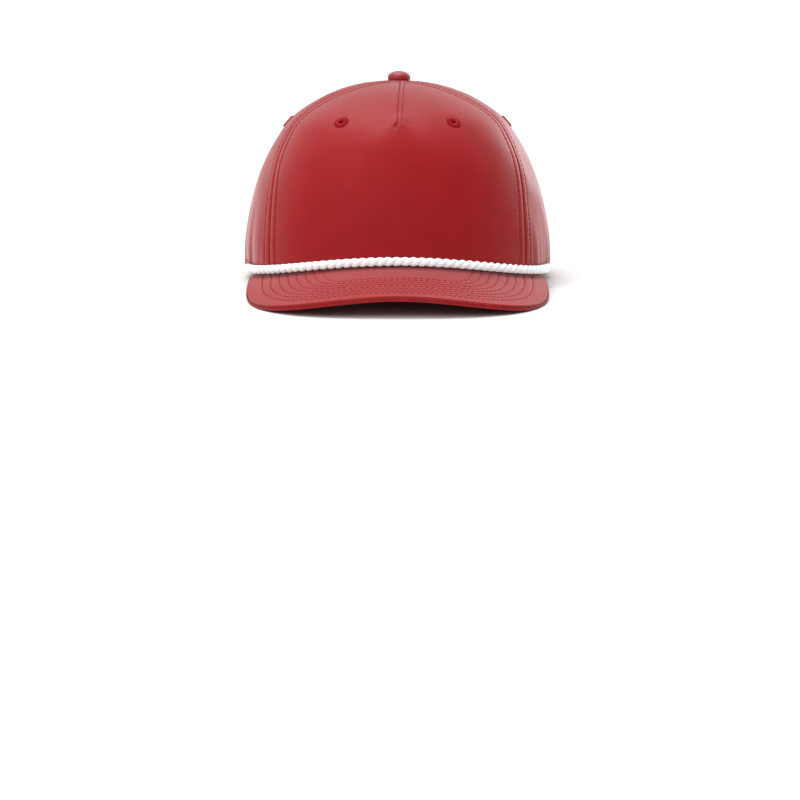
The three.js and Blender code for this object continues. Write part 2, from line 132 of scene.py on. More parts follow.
# The end of the dart: how far its fold hooks to the left for each length down, the dent at the
# hook and the swelling beside it, and the cone that opens under it. The knot's rows give place
# and spread across the fold, place and spread along it, and height. The cone's values are its
# height, its width at the dart, how much it widens for each length down, and where it fades out.
HOOK_SLOPE = 0.36
KNOT = (
    (0, 0.9 * MM, -1.5 * MM, 1.4 * MM, -1.6 * MM),
    (-1.4 * MM, 0.7 * MM, -0.9 * MM, 1.7 * MM, 0.4 * MM),
)
CONE_HEIGHT = 2.8 * MM
CONE_WIDTH = 5.0 * MM
CONE_OPENING = 0.75
CONE_FADE = 18 * MM


def linear(shade):
    """The linear colour of an sRGB hex value."""
    channels = [(shade >> shift & 255) / 255 for shift in (16, 8, 0)]
    return tuple(c / 12.92 if c <= 0.04045 else ((c + 0.055) / 1.055) ** 2.4 for c in channels)


def size(name, description, millimetres):
    """A length that the user can change."""
    return bpy.props.FloatProperty(
        name=name, description=description, default=millimetres * MM, unit="LENGTH", precision=4)


def colour(name, description, shade):
    """A colour that the user can change."""
    return bpy.props.FloatVectorProperty(
        name=name, description=description, default=linear(shade), size=3, min=0, max=1, subtype="COLOR")


class CapCrownSizes(bpy.types.PropertyGroup):
    width: size("Width", "Outside, across the rim", 178)
    length: size("Length", "Outside, front to back at the rim", 200)
    height: size("Height", "From the rim at the sides to the top of the cloth", 108)
    wall: size("Cloth", "Thickness of the cloth with its backing", 2)
    lean: bpy.props.FloatProperty(
        name="Lean", description="Angle that the crown leans back as the cap stands",
        default=math.radians(3.2), subtype="ANGLE")
    front_eyelet_height: size("Front eyelets", "Their height above the rim", 85)
    side_eyelet_height: size("Other eyelets", "Their height above the rim", 84.5)
    opening: size("Back opening", "Radius of the arch over the straps", 48)


class CapVisorSizes(bpy.types.PropertyGroup):
    half_width: size("Half width", "From the middle of the visor to its side", 84)
    reach: size("Reach", "From the middle of the crown to the visor's front edge", 168)
    corner_depth: size("Corner depth", "Length over which the outline rounds off", 108)
    thickness: size("Thickness", "Both halves together", 3)
    arch: size("Arch", "Rise of the crown's rim over the visor", 8.2)
    front_rise: size("Front rise", "Rise of the front edge between the corners", 9)
    end_rise: size("End rise", "Rise of the side edge from corner to end", 2.6)
    first_row: size("First row", "From the edge to the outermost row of stitching", 8.4)
    row_pitch: size("Row spacing", "Between rows of stitching", 4.8)
    rows: bpy.props.IntProperty(name="Rows", description="Rows of stitching", default=8, min=1, max=10)
    stitch_pitch: size("Stitch pitch", "From stitch to stitch in the rows", 3.2)
    stitch_length: size("Stitch length", "Length of one stitch in the rows", 1.9)
    stitch_width: size("Stitch width", "Thickness of the thread in the rows", 0.52)


class CapTrimSizes(bpy.types.PropertyGroup):
    rope: size("Rope", "Diameter of the twisted rope", 5.0)
    rope_lay: size("Rope lay", "Length in which a strand goes round once", 9.3)
    button_radius: size("Button radius", "Radius of the covered button", 6.6)
    button_height: size("Button height", "Height of the covered button", 5.4)
    button_shift: size("Button shift", "How far the button sits to the right of the middle", 0.9)
    eyelet_radius: size("Eyelet radius", "Outer radius of an embroidered eyelet", 4.1)
    eyelet_hole: size("Eyelet hole", "Radius of the hole in an eyelet", 1.2)
    stitch_pitch: size("Stitch pitch", "From stitch to stitch", 2.9)
    stitch_length: size("Stitch length", "Length of one stitch", 2.2)
    stitch_width: size("Stitch width", "Thickness of the sewing thread", 0.5)


class CapStrapSizes(bpy.types.PropertyGroup):
    band_height: size("Sweatband", "Height of the sweatband", 32)
    width: size("Strap width", "Width of each plastic strap", 19)
    wall: size("Strap wall", "Thickness of each plastic strap", 1.3)
    peg_pitch: size("Peg spacing", "From peg to peg", 9.5)
    peg_radius: size("Peg radius", "Radius of a peg", 1.8)
    hole_radius: size("Hole radius", "Radius of a hole", 2.2)


class CapColours(bpy.types.PropertyGroup):
    cloth: colour("Cloth", "Crown and visor", 0x9E1014)
    # The thread is a shade darker than the cloth: painted shade for the grooves and needle holes that the
    # stitches sink into.
    thread: colour("Thread", "Eyelets and stitching", 0x970D11)
    # The rope's white leans a hair towards cyan, to offset the red light that the cloth throws on it.
    rope: colour("Rope", "Twisted cotton rope", 0xF7F9F9)
    # The underside's colour is the cloth's made darker: painted shade for the visor's lower half.
    underside: colour("Underside", "Lower half of the visor, which lies in its own shade", 0x8E0C10)
    band: colour("Sweatband", "Cotton inside the rim", 0x9C1A20)
    plastic: colour("Plastic", "Straps at the back", 0xA3161C)
    floor: colour("Floor", "Paper under the cap", 0xECECEC)


# The crown's surface

def ease(value, start, end):
    """Smooth step from 0 at start to 1 at end."""
    share = np.clip((value - start) / (end - start), 0, 1)
    return share * share * (3 - 2 * share)


def bump(distance, width):
    """A soft ridge of height 1 at distance 0."""
    return np.exp(-(distance / width) ** 2)


def ridges(distance, profile):
    """The relief beside a line, from a profile such as SEAM_RIDGES."""
    return sum(height * bump(distance - place, width) for place, width, height in profile)


def unit(vectors):
    return vectors / np.linalg.norm(vectors, axis=-1, keepdims=True)


def through(before, here, there, after, part):
    """A smooth curve through four values, at a part of the way from the second to the third."""
    return 0.5 * (2 * here + (there - before) * part
                  + (2 * before - 5 * here + 4 * there - after) * part ** 2
                  + (3 * here - before - 3 * there + after) * part ** 3)


def ripple(place, wavelength, seed):
    """A wavy line between -1 and 1 that does not repeat."""
    chance = np.random.default_rng(seed)
    waves = [np.sin(2 * np.pi * place / (wavelength * scale) + chance.uniform(0, 2 * np.pi))
             for scale in (1, 0.71, 1.43)]
    return sum(waves) / len(waves)


class Crown:
    """The crown's outer surface, worked out from SECTIONS."""

    def __init__(self, scene):
        sizes = scene.cap_crown
        self.width = sizes.width
        self.length = sizes.length
        self.height = sizes.height
        self.wall = sizes.wall
        self.lean = sizes.lean
        self.arch = scene.cap_visor.arch
        self.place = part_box("visor_upper")[0].y + scene.cap_visor.reach
        first = 2 * SECTIONS[0] - SECTIONS[1]
        last = 2 * SECTIONS[-1] - SECTIONS[-2]
        self.table = np.vstack([first, SECTIONS, last])
        self.levels = np.linspace(0, 1, 2001)
        self.heights = self.section(self.levels)["height"] * self.height

    def section(self, level):
        """The row of SECTIONS at each level, on a smooth curve through them."""
        level = np.asarray(level, float)
        last = len(SECTIONS) - 1
        start = np.minimum((level * last).astype(int), last - 1)
        part = (level * last - start)[..., None]
        row = through(*(self.table[start + step] for step in range(4)), part)
        return {name: row[..., column] for column, name in enumerate(SECTION_COLUMNS)}

    def level_at(self, height):
        """The level at a height above the rim."""
        return np.interp(height, self.heights, self.levels)

    def radius(self, section, angle):
        at_front = np.abs(angle) <= 90
        reach = np.where(at_front, section["front"], section["back"]) * self.length / 2
        power = np.where(at_front, section["square"], BACK_SQUARE)
        across = np.abs(np.sin(np.radians(angle))) / (section["side"] * self.width / 2)
        along = np.abs(np.cos(np.radians(angle))) / reach
        return (across ** power + along ** power) ** (-1 / power)

    def fold_depth(self, angle, height):
        depth = 0
        for middle, spread, share, top in FOLDS:
            fade = np.maximum(0, 1 - height / top)
            depth = depth + share * self.width * fade * bump(np.abs(angle) - middle, spread)
        return depth

    def rim(self, angle):
        """The rim arches up over the visor, and its back settles down onto the table."""
        turn = np.abs(angle)
        over_visor = self.arch * np.cos(np.radians(90 * turn / VISOR_END_ANGLE)) ** 2
        back = -self.radius(self.section(0.0), angle) * np.cos(np.radians(angle))
        table = -(self.length / 2 - back) * math.tan(self.lean)
        settled = table * ease(turn, SETTLE_START, SETTLE_END)
        return np.where(turn < VISOR_END_ANGLE, over_visor, settled)

    def settled(self, x, y, z):
        """Turns points of the upright crown about the back of the rim, so that it leans back."""
        forward = self.length / 2 - y
        leant = self.length / 2 - forward * math.cos(self.lean) + z * math.sin(self.lean)
        raised = z * math.cos(self.lean) + forward * math.sin(self.lean)
        return np.stack(np.broadcast_arrays(x, leant + self.place, raised), axis=-1)

    def point(self, angle, level, outward=0.0, lift=0.0):
        angle, level = np.broadcast_arrays(np.asarray(angle, float), np.asarray(level, float))
        section = self.section(level)
        radius = self.radius(section, angle) - self.fold_depth(angle, section["height"]) + outward
        rim = self.rim(angle)
        height = rim + (self.height - rim) * section["height"] + lift
        turn = np.radians(angle)
        return self.settled(radius * np.sin(turn), -radius * np.cos(turn), height)

    def normal(self, angle, level):
        along = self.point(angle + 0.5, level) - self.point(angle - 0.5, level)
        up = self.point(angle, np.minimum(1, level + 0.01)) - self.point(angle, np.maximum(0, level - 0.01))
        return unit(np.cross(along, up))

    def lining_point(self, angle, height, inset):
        """A point inside the crown at a height above the rim, so far in from the outer face."""
        level = self.level_at(height)
        normal = self.normal(angle, level) * (1, 1, 0)
        return self.point(angle, level) - unit(normal) * np.asarray(inset)[..., None]

    def eyelets(self, scene, *wanted):
        """Place, side, angle and level of each eyelet, or of those at the wanted place and side."""
        front = self.level_at(scene.cap_crown.front_eyelet_height)
        side = self.level_at(scene.cap_crown.side_eyelet_height)
        angles = {
            "front": (self.section(front)["seam"] * 0.425, front),
            "side": ((self.section(side)["seam"] + REAR_SEAM_ANGLE) / 2, side),
            "back": ((REAR_SEAM_ANGLE + 180) / 2, side),
        }
        found = [(place, name, sign * angle, level) for place, (angle, level) in angles.items()
                 for name, sign in (("left", -1), ("right", 1))]
        return [eyelet for eyelet in found if eyelet[:len(wanted)] == wanted]


# Meshes made from grids of points

def spread(stops, counts):
    """Shares from 0 to 1, with so many steps between each pair of stops."""
    parts = [np.linspace(start, end, count, endpoint=False)
             for start, end, count in zip(stops, stops[1:], counts)]
    return np.append(np.concatenate(parts), stops[-1])


def lengths(points, axis):
    """How far along the rows or columns of a grid each point lies, from the first."""
    steps = np.linalg.norm(np.diff(points, axis=axis), axis=-1)
    start = np.zeros_like(np.take(steps, [0], axis=axis))
    return np.cumsum(np.concatenate([start, steps], axis=axis), axis=axis)


def grid_normals(points):
    return unit(np.cross(np.gradient(points, axis=1), np.gradient(points, axis=0)))


def activate(piece):
    bpy.ops.object.select_all(action="DESELECT")
    piece.select_set(True)
    bpy.context.view_layer.objects.active = piece


def primitive(add, **settings):
    """Adds a primitive by one of Blender's operators, with nothing else selected."""
    bpy.ops.object.select_all(action="DESELECT")
    add(**settings)
    return bpy.context.active_object


def edit(piece, *steps):
    """Runs edit mode operators on the whole of a piece, each a function with no arguments."""
    activate(piece)
    bpy.ops.object.mode_set(mode="EDIT")
    bpy.ops.mesh.select_all(action="SELECT")
    for step in steps:
        step()
    bpy.ops.object.mode_set(mode="OBJECT")


def sheet_mesh(name, points, weave=None):
    """A sheet of quads through a grid of points. weave gives each point its place in the cloth."""
    rows, columns = points.shape[:2]
    piece = primitive(bpy.ops.mesh.primitive_grid_add, x_subdivisions=columns - 1,
                      y_subdivisions=rows - 1, size=1)
    piece.name = name
    mesh = piece.data
    mesh.name = name
    flat = np.empty(len(mesh.vertices) * 3, np.float32)
    mesh.vertices.foreach_get("co", flat)
    flat = flat.reshape(-1, 3)
    column = np.rint((flat[:, 0] + 0.5) * (columns - 1)).astype(int)
    row = np.rint((flat[:, 1] + 0.5) * (rows - 1)).astype(int)
    mesh.vertices.foreach_set("co", points[row, column].astype(np.float32).ravel())
    if weave is None:
        weave = np.stack([lengths(points, 1), lengths(points, 0)], axis=-1)
    corners = np.empty(len(mesh.loops), np.int32)
    mesh.loops.foreach_get("vertex_index", corners)
    layer = mesh.uv_layers[0]
    layer.name = "weave"
    layer.uv.foreach_set("vector", weave[row[corners], column[corners]].astype(np.float32).ravel())
    mesh.update()
    return piece


def closed_mesh(name, points):
    """A grid whose last column or row falls on its first, welded into a closed body."""
    piece = sheet_mesh(name, points)
    edit(piece,
         lambda: bpy.ops.mesh.remove_doubles(threshold=0.002 * MM),
         lambda: bpy.ops.mesh.normals_make_consistent(inside=False))
    return piece


def modify(piece, kind, **settings):
    """Adds a modifier and applies it."""
    activate(piece)
    modifier = piece.modifiers.new(kind.title(), kind)
    for option, value in settings.items():
        setattr(modifier, option, value)
    bpy.ops.object.modifier_apply(modifier=modifier.name)


def thicken(piece, wall):
    """Gives a sheet its thickness, inwards from its face."""
    modify(piece, "SOLIDIFY", thickness=wall, offset=-1, use_even_offset=False)


def smooth(piece, degrees=50):
    activate(piece)
    bpy.ops.object.shade_smooth_by_angle(angle=math.radians(degrees))


def soften_edges(piece, width, segments, degrees):
    """Rounds the edges where a piece turns by more than so many degrees."""
    modify(piece, "BEVEL", width=width, segments=segments, limit_method="ANGLE",
           angle_limit=math.radians(degrees))
    smooth(piece, 60)


def join(pieces, name):
    activate(pieces[0])
    for piece in pieces:
        piece.select_set(True)
    bpy.ops.object.join()
    pieces[0].name = name
    return pieces[0]


def above_floor(piece):
    """Presses what would sink into the floor flat on it."""
    for vertex in piece.data.vertices:
        vertex.co.z = max(vertex.co.z, 0)


def standing(point, direction):
    """The matrix that puts an object at a point with its Z along a direction."""
    turn = Vector(direction).to_track_quat("Z", "Y").to_matrix().to_4x4()
    return Matrix.Translation(Vector(point)) @ turn


def cut_hole(piece, point, direction, radius, depth):
    """A round hole through a wall."""
    cutter = primitive(bpy.ops.mesh.primitive_cylinder_add, vertices=32, radius=radius, depth=depth)
    cutter.data.transform(standing(point, direction))
    modify(piece, "BOOLEAN", object=cutter, operation="DIFFERENCE", solver="EXACT")
    bpy.data.objects.remove(cutter)


def finished(piece, material, slot, *nodes):
    """Gives a piece its material and its body, and hides the nodes that it stands for."""
    piece.data.materials.clear()
    piece.data.materials.append(material)
    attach(piece, BODY)
    if nodes:
        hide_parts(*nodes)


# Stitches

def stitches_along(path, normals, sizes):
    """Evenly spaced stitches on a path: a matrix of place, direction and up for each."""
    reach = lengths(path[None], 1)[0]
    count = max(1, int(reach[-1] / sizes.stitch_pitch))
    places = (np.arange(count) + 0.5) * reach[-1] / count
    at = lambda values, place: np.stack([np.interp(place, reach, values[:, k]) for k in range(3)], -1)
    half = sizes.stitch_length / 2
    direction = unit(at(path, places + half) - at(path, places - half))
    up = at(normals, places)
    across = unit(np.cross(up, direction))
    up = np.cross(direction, across)
    centre = at(path, places) + up * sizes.stitch_width * 0.12
    return np.stack([direction, across, up, centre], axis=1)


def stitch_mesh(name, stitches, sizes):
    """All stitches of a row or group as one mesh, each a small rounded bar."""
    bar = primitive(bpy.ops.mesh.primitive_uv_sphere_add, segments=6, ring_count=6, radius=1)
    width = sizes.stitch_width / 2
    half = sizes.stitch_length / 2
    shape = np.array([vertex.co for vertex in bar.data.vertices])
    # The ball's poles lie along the stitch, and its middle is stretched to a bar.
    shape = shape[:, [2, 0, 1]]
    shape[:, 0] = np.sign(shape[:, 0]) * np.abs(shape[:, 0]) ** 0.6 * half
    shape[:, 1:] *= width
    faces = [tuple(polygon.vertices) for polygon in bar.data.polygons]
    bpy.data.objects.remove(bar)
    frames = np.concatenate(stitches)
    corners = np.einsum("vk,nkc->nvc", shape, frames[:, :3]) + frames[:, None, 3]
    every = [tuple(index + len(shape) * copy for index in face)
             for copy in range(len(frames)) for face in faces]
    mesh = bpy.data.meshes.new(name)
    mesh.from_pydata(corners.reshape(-1, 3).tolist(), [], every)
    piece = bpy.data.objects.new(name, mesh)
    bpy.context.collection.objects.link(piece)
    edit(piece, lambda: bpy.ops.mesh.normals_make_consistent(inside=False))
    smooth(piece, 180)
    return piece


def stitched_line(points, normals, distances, distance, sizes):
    """Stitches across a grid's rows, where the points' distances from a line have one value."""
    path, up = (np.stack([[np.interp(distance, place, row[:, k]) for k in range(3)]
                          for place, row in zip(distances, values)]) for values in (points, normals))
    return stitches_along(path, up, sizes)


# Materials

def add_node(tree, kind, inputs=None, **settings):
    """Adds a node with its settings. An input is a value or another node's socket."""
    node = tree.nodes.new(kind)
    for option, value in settings.items():
        setattr(node, option, value)
    for name, value in (inputs or {}).items():
        if isinstance(value, bpy.types.NodeSocket):
            tree.links.new(value, node.inputs[name])
        else:
            node.inputs[name].default_value = value
    return node


def new_material(name, settings):
    """A material whose shader has its sockets set, with its node tree and shader."""
    material = bpy.data.materials.new(name)
    material.use_nodes = True
    tree = material.node_tree
    shader = tree.nodes["Principled BSDF"]
    for socket, value in settings.items():
        shader.inputs[socket].default_value = value
    return material, tree, shader


def drive(tree, shader, **sources):
    """Links a shader's sockets to what drives them: its colour, its roughness or its normal."""
    sockets = {"colour": "Base Color", "roughness": "Roughness", "normal": "Normal"}
    for name, source in sources.items():
        tree.links.new(source, shader.inputs[sockets[name]])


def toned(tree, base, value, low, high, amount):
    """A colour made darker and lighter by an amount, as a value goes from low to high."""
    tone = add_node(tree, "ShaderNodeMapRange", {
        "Value": value, "From Min": low, "From Max": high, "To Min": 1 - amount, "To Max": 1 + amount})
    return add_node(tree, "ShaderNodeMix", {"Factor": 1.0, "A": base, "B": tone.outputs["Result"]},
                    data_type="RGBA", blend_type="MULTIPLY").outputs["Result"]


def mottled(tree, base, place, spot, amount):
    """A colour that is a little lighter and darker from spot to spot, each so large."""
    clouds = add_node(tree, "ShaderNodeTexNoise", {"Vector": place, "Scale": 1 / spot, "Detail": 2.0})
    return toned(tree, (*base, 1), clouds.outputs["Fac"], 0.3, 0.7, amount)


def slanting_ribs(tree, pitch, degrees, wander):
    """Ribs with their pitch, their slant and how they wander, and the weave map that they lie on."""
    cloth = add_node(tree, "ShaderNodeUVMap", uv_map="weave").outputs["UV"]
    turned = add_node(tree, "ShaderNodeMapping",
                      {"Vector": cloth, "Rotation": (0, 0, math.radians(degrees))}).outputs["Vector"]
    ribs = add_node(tree, "ShaderNodeTexWave", {"Vector": turned, "Scale": math.pi / 10 / pitch, **wander},
                    wave_type="BANDS", bands_direction="X", wave_profile="SIN")
    return ribs.outputs["Fac"], cloth


def polyester_twill(name, base, rib=0.75 * MM, depth=0.06 * MM, sheen=1.0, gloss=0.25, roughness=0.5):
    """Polyester twill, woven and pressed smooth: fine diagonal ribs under a soft satin sheen.

    The ribs are drawn at least twice as coarse as the real 0.35 mm, so that they show.
    """
    material, tree, shader = new_material(name, {
        "Roughness": roughness, "IOR": 1.5, "Specular IOR Level": gloss, "Sheen Weight": sheen,
        "Sheen Roughness": 0.38, "Sheen Tint": (1.0, 0.85, 0.85, 1)})
    ribs, cloth = slanting_ribs(
        tree, rib, 63, {"Distortion": 0.6, "Detail": 1.0, "Detail Scale": 2.0})
    yarn = add_node(tree, "ShaderNodeTexNoise",
                    {"Vector": cloth, "Scale": 1 / (1.3 * MM), "Detail": 3.0}).outputs["Fac"]
    relief = add_node(tree, "ShaderNodeMath", {0: ribs, 1: yarn}, operation="ADD").outputs["Value"]
    bumps = add_node(tree, "ShaderNodeBump", {"Height": relief, "Strength": 0.35, "Distance": depth})
    dye = mottled(tree, base, cloth, 14 * MM, 0.05)
    worn = add_node(tree, "ShaderNodeMapRange",
                    {"Value": yarn, "To Min": roughness - 0.05, "To Max": roughness + 0.07})
    drive(tree, shader, colour=toned(tree, dye, relief, 0.4, 1.6, 0.21),
          roughness=worn.outputs["Result"], normal=bumps.outputs["Normal"])
    return material


def embroidery_thread(name, base):
    """Polyester embroidery thread, twisted from fine filaments: a faint silky gloss along each stitch."""
    material, tree, shader = new_material(name, {
        "Roughness": 0.5, "IOR": 1.5, "Specular IOR Level": 0.15})
    place = add_node(tree, "ShaderNodeTexCoord").outputs["Object"]
    fibres = add_node(tree, "ShaderNodeTexNoise", {"Vector": place, "Scale": 1 / (0.35 * MM), "Detail": 2.0})
    bumps = add_node(tree, "ShaderNodeBump",
                     {"Height": fibres.outputs["Fac"], "Strength": 0.4, "Distance": 0.05 * MM})
    drive(tree, shader, colour=mottled(tree, base, place, 1.5 * MM, 0.12), normal=bumps.outputs["Normal"])
    return material


def twisted_cotton(name, base):
    """Soft cotton yarn, bleached, spun and twisted: dull, with fine fibres slanting along each strand.

    A little cyan emission is painted light: a glow that lifts the rope out of its shade and offsets the red
    light that the crown and visor throw on it.
    """
    material, tree, shader = new_material(name, {
        "Roughness": 0.9, "IOR": 1.47, "Sheen Weight": 0.25, "Sheen Roughness": 0.6,
        "Subsurface Weight": 0.15, "Subsurface Radius": (1.0, 1.0, 1.0), "Subsurface Scale": 0.5 * MM,
        "Emission Color": (0.7, 1.0, 1.0, 1), "Emission Strength": 0.25})
    yarns, strand = slanting_ribs(tree, 0.55 * MM, 35, {"Distortion": 1.5, "Detail": 2.0})
    bumps = add_node(tree, "ShaderNodeBump", {"Height": yarns, "Strength": 0.5, "Distance": 0.12 * MM})
    drive(tree, shader, colour=mottled(tree, base, strand, 2 * MM, 0.03), normal=bumps.outputs["Normal"])
    return material


def moulded_plastic(name, base):
    """Soft polyethylene, injection moulded: an even satin gloss with a faint grain."""
    material, tree, shader = new_material(name, {"Roughness": 0.36, "IOR": 1.51})
    place = add_node(tree, "ShaderNodeTexCoord").outputs["Object"]
    grain = add_node(tree, "ShaderNodeTexNoise",
                     {"Vector": place, "Scale": 1 / (0.4 * MM), "Detail": 2.0}).outputs["Fac"]
    bumps = add_node(tree, "ShaderNodeBump", {"Height": grain, "Strength": 0.25, "Distance": 0.04 * MM})
    satin = add_node(tree, "ShaderNodeMapRange", {"Value": grain, "To Min": 0.32, "To Max": 0.42})
    drive(tree, shader, colour=mottled(tree, base, place, 12 * MM, 0.04),
          roughness=satin.outputs["Result"], normal=bumps.outputs["Normal"])
    return material


def matt_paper(name, base):
    """Uncoated background paper: an even, dull white."""
    material, tree, shader = new_material(name, {"Roughness": 0.95, "Specular IOR Level": 0.0})
    place = add_node(tree, "ShaderNodeTexCoord").outputs["Object"]
    drive(tree, shader, colour=mottled(tree, base, place, 400 * MM, 0.004))
    return material


# The crown's panels

# Shares across a side panel between which its grid has so many columns: closer at the seams.
EDGE_STOPS = (0, 0.014, 0.08, 0.92, 0.986, 1)
EDGE_COUNTS = (6, 12, 76, 12, 6)
UNDER_BUTTON = 0.965    # level at which the seams' stitching runs in under the button
DART_TOP = 0.955        # level at which the dart's stitching runs in under the button
DART_GONE = 0.985       # level at which the dart has flattened out under the button
EYELET_CUT = 2.3 * MM   # radius of the hole in the cloth, under the thread


class PanelGrid:
    """A panel's grid of points, with how far each lies from the panel's edges."""

    def __init__(self, crown, angle, level):
        self.crown = crown
        self.level = level
        self.points = crown.point(angle, level)
        self.normals = grid_normals(self.points)
        self.from_left = lengths(self.points, 1)
        self.from_right = self.from_left[:, -1:] - self.from_left
        self.from_seam = np.minimum(self.from_left, self.from_right)
        self.up = lengths(self.points, 0)
        self.middle = self.points.shape[1] // 2
        self.from_middle = self.from_left - self.from_left[:, self.middle, None]
        along = np.broadcast_to(self.up[:, self.middle, None], self.up.shape)
        self.weave = np.stack([self.from_middle, along], axis=-1)

    def raise_by(self, height):
        self.points = self.points + self.normals * height[..., None]

    def seam_relief(self, seed):
        """The cloth turns in at each seam, and is drawn down at the stitching beside it."""
        pucker = ripple(self.up, 7.5 * MM, seed) * bump(self.from_seam - 4.4 * MM, 2.6 * MM)
        return ridges(self.from_seam, SEAM_RIDGES) + 0.10 * MM * pucker

    def soft_relief(self, seed, depth):
        """Slow, shallow waves that keep the cloth from looking like a shell."""
        waves = (ripple(self.from_middle + 0.35 * self.up, 46 * MM, seed)
                 * ripple(self.up - 0.2 * self.from_middle, 58 * MM, seed + 1))
        return depth * waves * ease(self.from_seam, 0, 12 * MM)

    def eyelet_relief(self, eyelets):
        """The cloth sinks and gathers a little round each eyelet."""
        relief = 0
        gathers = 9
        for _, _, angle, level in eyelets:
            offset = self.points - self.crown.point(angle, level)
            turn = np.arctan2(offset[..., 2], offset[..., 0])
            depth = (0.35 + 0.10 * np.cos(gathers * turn)) * MM
            relief = relief - bump(np.linalg.norm(offset, axis=-1), 5.5 * MM) * depth
        return relief

    def shell(self, name, wall, eyelets):
        """The panel as a piece of cloth with its thickness and its eyelet holes."""
        piece = sheet_mesh(name, self.points, self.weave)
        thicken(piece, wall)
        for _, _, angle, level in eyelets:
            cut_hole(piece, self.crown.point(angle, level), self.crown.normal(angle, level),
                     EYELET_CUT, 6 * wall)
        smooth(piece)
        return piece

    def stitches(self, rows, distances, distance, sizes):
        """Stitches that run up the panel, on some of its rows."""
        return stitched_line(self.points[rows], self.normals[rows], distances[rows], distance, sizes)

    def stitches_across(self, columns, distances, distance, sizes):
        """Stitches that run across the panel, on some of its columns."""
        turned = (values.swapaxes(0, 1)[columns] for values in (self.points, self.normals, distances))
        return stitched_line(*turned, distance, sizes)

    def seam_stitches(self, trims):
        """Stitch rows beside the seams, from the rim to the button's edge."""
        rows = self.level[:, 0] <= UNDER_BUTTON
        rows[0] = False
        found = []
        for distances, place in ((self.from_left, SEAM_STITCH), (-self.from_right, -SEAM_STITCH)):
            found.append(self.stitches(rows, distances, place, trims))
        return found


def panel_angles(crown, level, from_edge, to_edge, shares):
    """Angles across a panel, a hair inside its seams."""
    section = crown.section(level)
    gap = [np.degrees(SEAM_GAP / crown.radius(section, edge)) for edge in (from_edge, to_edge)]
    start = (from_edge + gap[0])[:, None]
    end = (to_edge - gap[1])[:, None]
    return start + (end - start) * shares[None]


class DartFoldShadeThread:
    """Long dark stitches laid along the dart's fold: painted shade for the fold's shadow, standing where the
    close seam lies hidden. Its end shows as a hook under the dart.
    """

    stitch_pitch = 1.5 * MM
    stitch_length = 1.9 * MM
    stitch_width = 0.55 * MM


def make_front_panel(crown, scene):
    """The front panel, with the dart that shapes its middle and the cone that opens under it."""
    level = spread((0, 0.62, 0.72, 1), (62, 24, 44))
    shares = spread((0, 0.008, 0.055, 0.47, 0.492, 0.508, 0.53, 0.945, 0.992, 1),
                    (7, 15, 46, 8, 24, 8, 46, 15, 7))
    seam = crown.section(level)["seam"]
    angle = panel_angles(crown, level, -seam, seam, shares)
    panel = PanelGrid(crown, angle, np.broadcast_to(level[:, None], angle.shape))
    start = np.interp(DART_START, crown.section(level)["height"], panel.up[:, panel.middle])
    above = panel.up - start
    # The dart runs a little aslant, from right of the middle at the button to left of it below.
    aslant = 0.022
    across = panel.from_middle + 0.2 * MM - aslant * np.maximum(above, 0)
    dart = ease(above, -0.2 * MM, 1.5 * MM) * (1 - ease(panel.level, DART_TOP, DART_GONE))
    under = np.maximum(-above, 0)
    hook = across + HOOK_SLOPE * under
    knot = sum(height * bump(hook - place, width) * bump(above - along, length)
               for place, width, along, length, height in KNOT)
    cone = (CONE_HEIGHT * bump(across - 0.6 * MM, CONE_WIDTH + CONE_OPENING * under)
            * ease(above, 15 * MM, -3 * MM) * np.exp(-under / CONE_FADE))
    eyelets = crown.eyelets(scene, "front")
    panel.raise_by(panel.seam_relief(3) + panel.soft_relief(11, 0.25 * MM)
                   + dart * ridges(across, DART_RIDGES) + knot + cone
                   + panel.eyelet_relief(eyelets))
    piece = panel.shell("front_panel_cloth", crown.wall, eyelets)
    stitches = panel.seam_stitches(scene.cap_trims)
    along_dart = above[:, panel.middle]
    rows = (along_dart > 0) & (panel.level[:, 0] < DART_TOP)
    stitches.append(panel.stitches(rows, across, DART_STITCH, scene.cap_trims))
    # The dark thread in the fold and its hook is painted shade for the fold's shadow.
    rows = (along_dart > -1.8 * MM) & (panel.level[:, 0] < 0.975)
    fold_shade_thread = [panel.stitches(rows, hook, 0.0, DartFoldShadeThread)]
    return piece, stitches, fold_shade_thread


def make_side_panel(crown, scene, sign, name):
    """A side panel, from the front panel's seam back to the rear seam."""
    level = spread((0, 0.06, 1), (16, 104))
    shares = spread(EDGE_STOPS, EDGE_COUNTS)
    seam = crown.section(level)["seam"] * sign
    rear = np.full_like(level, REAR_SEAM_ANGLE * sign)
    edges = (seam, rear) if sign > 0 else (rear, seam)
    angle = panel_angles(crown, level, *edges, shares)
    panel = PanelGrid(crown, angle, np.broadcast_to(level[:, None], angle.shape))
    eyelets = crown.eyelets(scene, "side", name)
    height = crown.section(panel.level)["height"]
    low = 1 - ease(height, 0.05, 0.34)
    drawn = ripple(panel.from_middle, 13 * MM, 60 + sign) * low * ease(panel.from_seam, 4 * MM, 12 * MM)
    panel.raise_by(panel.seam_relief(20 + sign) + panel.soft_relief(30 + sign, 0.6 * MM)
                   + ridges(panel.up, HEM_RIDGES) + panel.eyelet_relief(eyelets)
                   - 0.9 * crown.fold_depth(angle, height) + 0.35 * MM * drawn)
    piece = panel.shell(f"side_panel_{name}_cloth", crown.wall, eyelets)
    above_floor(piece)
    stitches = panel.seam_stitches(scene.cap_trims)
    stitches.append(panel.stitches_across(slice(None), panel.up, HEM_STITCH, scene.cap_trims))
    return piece, stitches


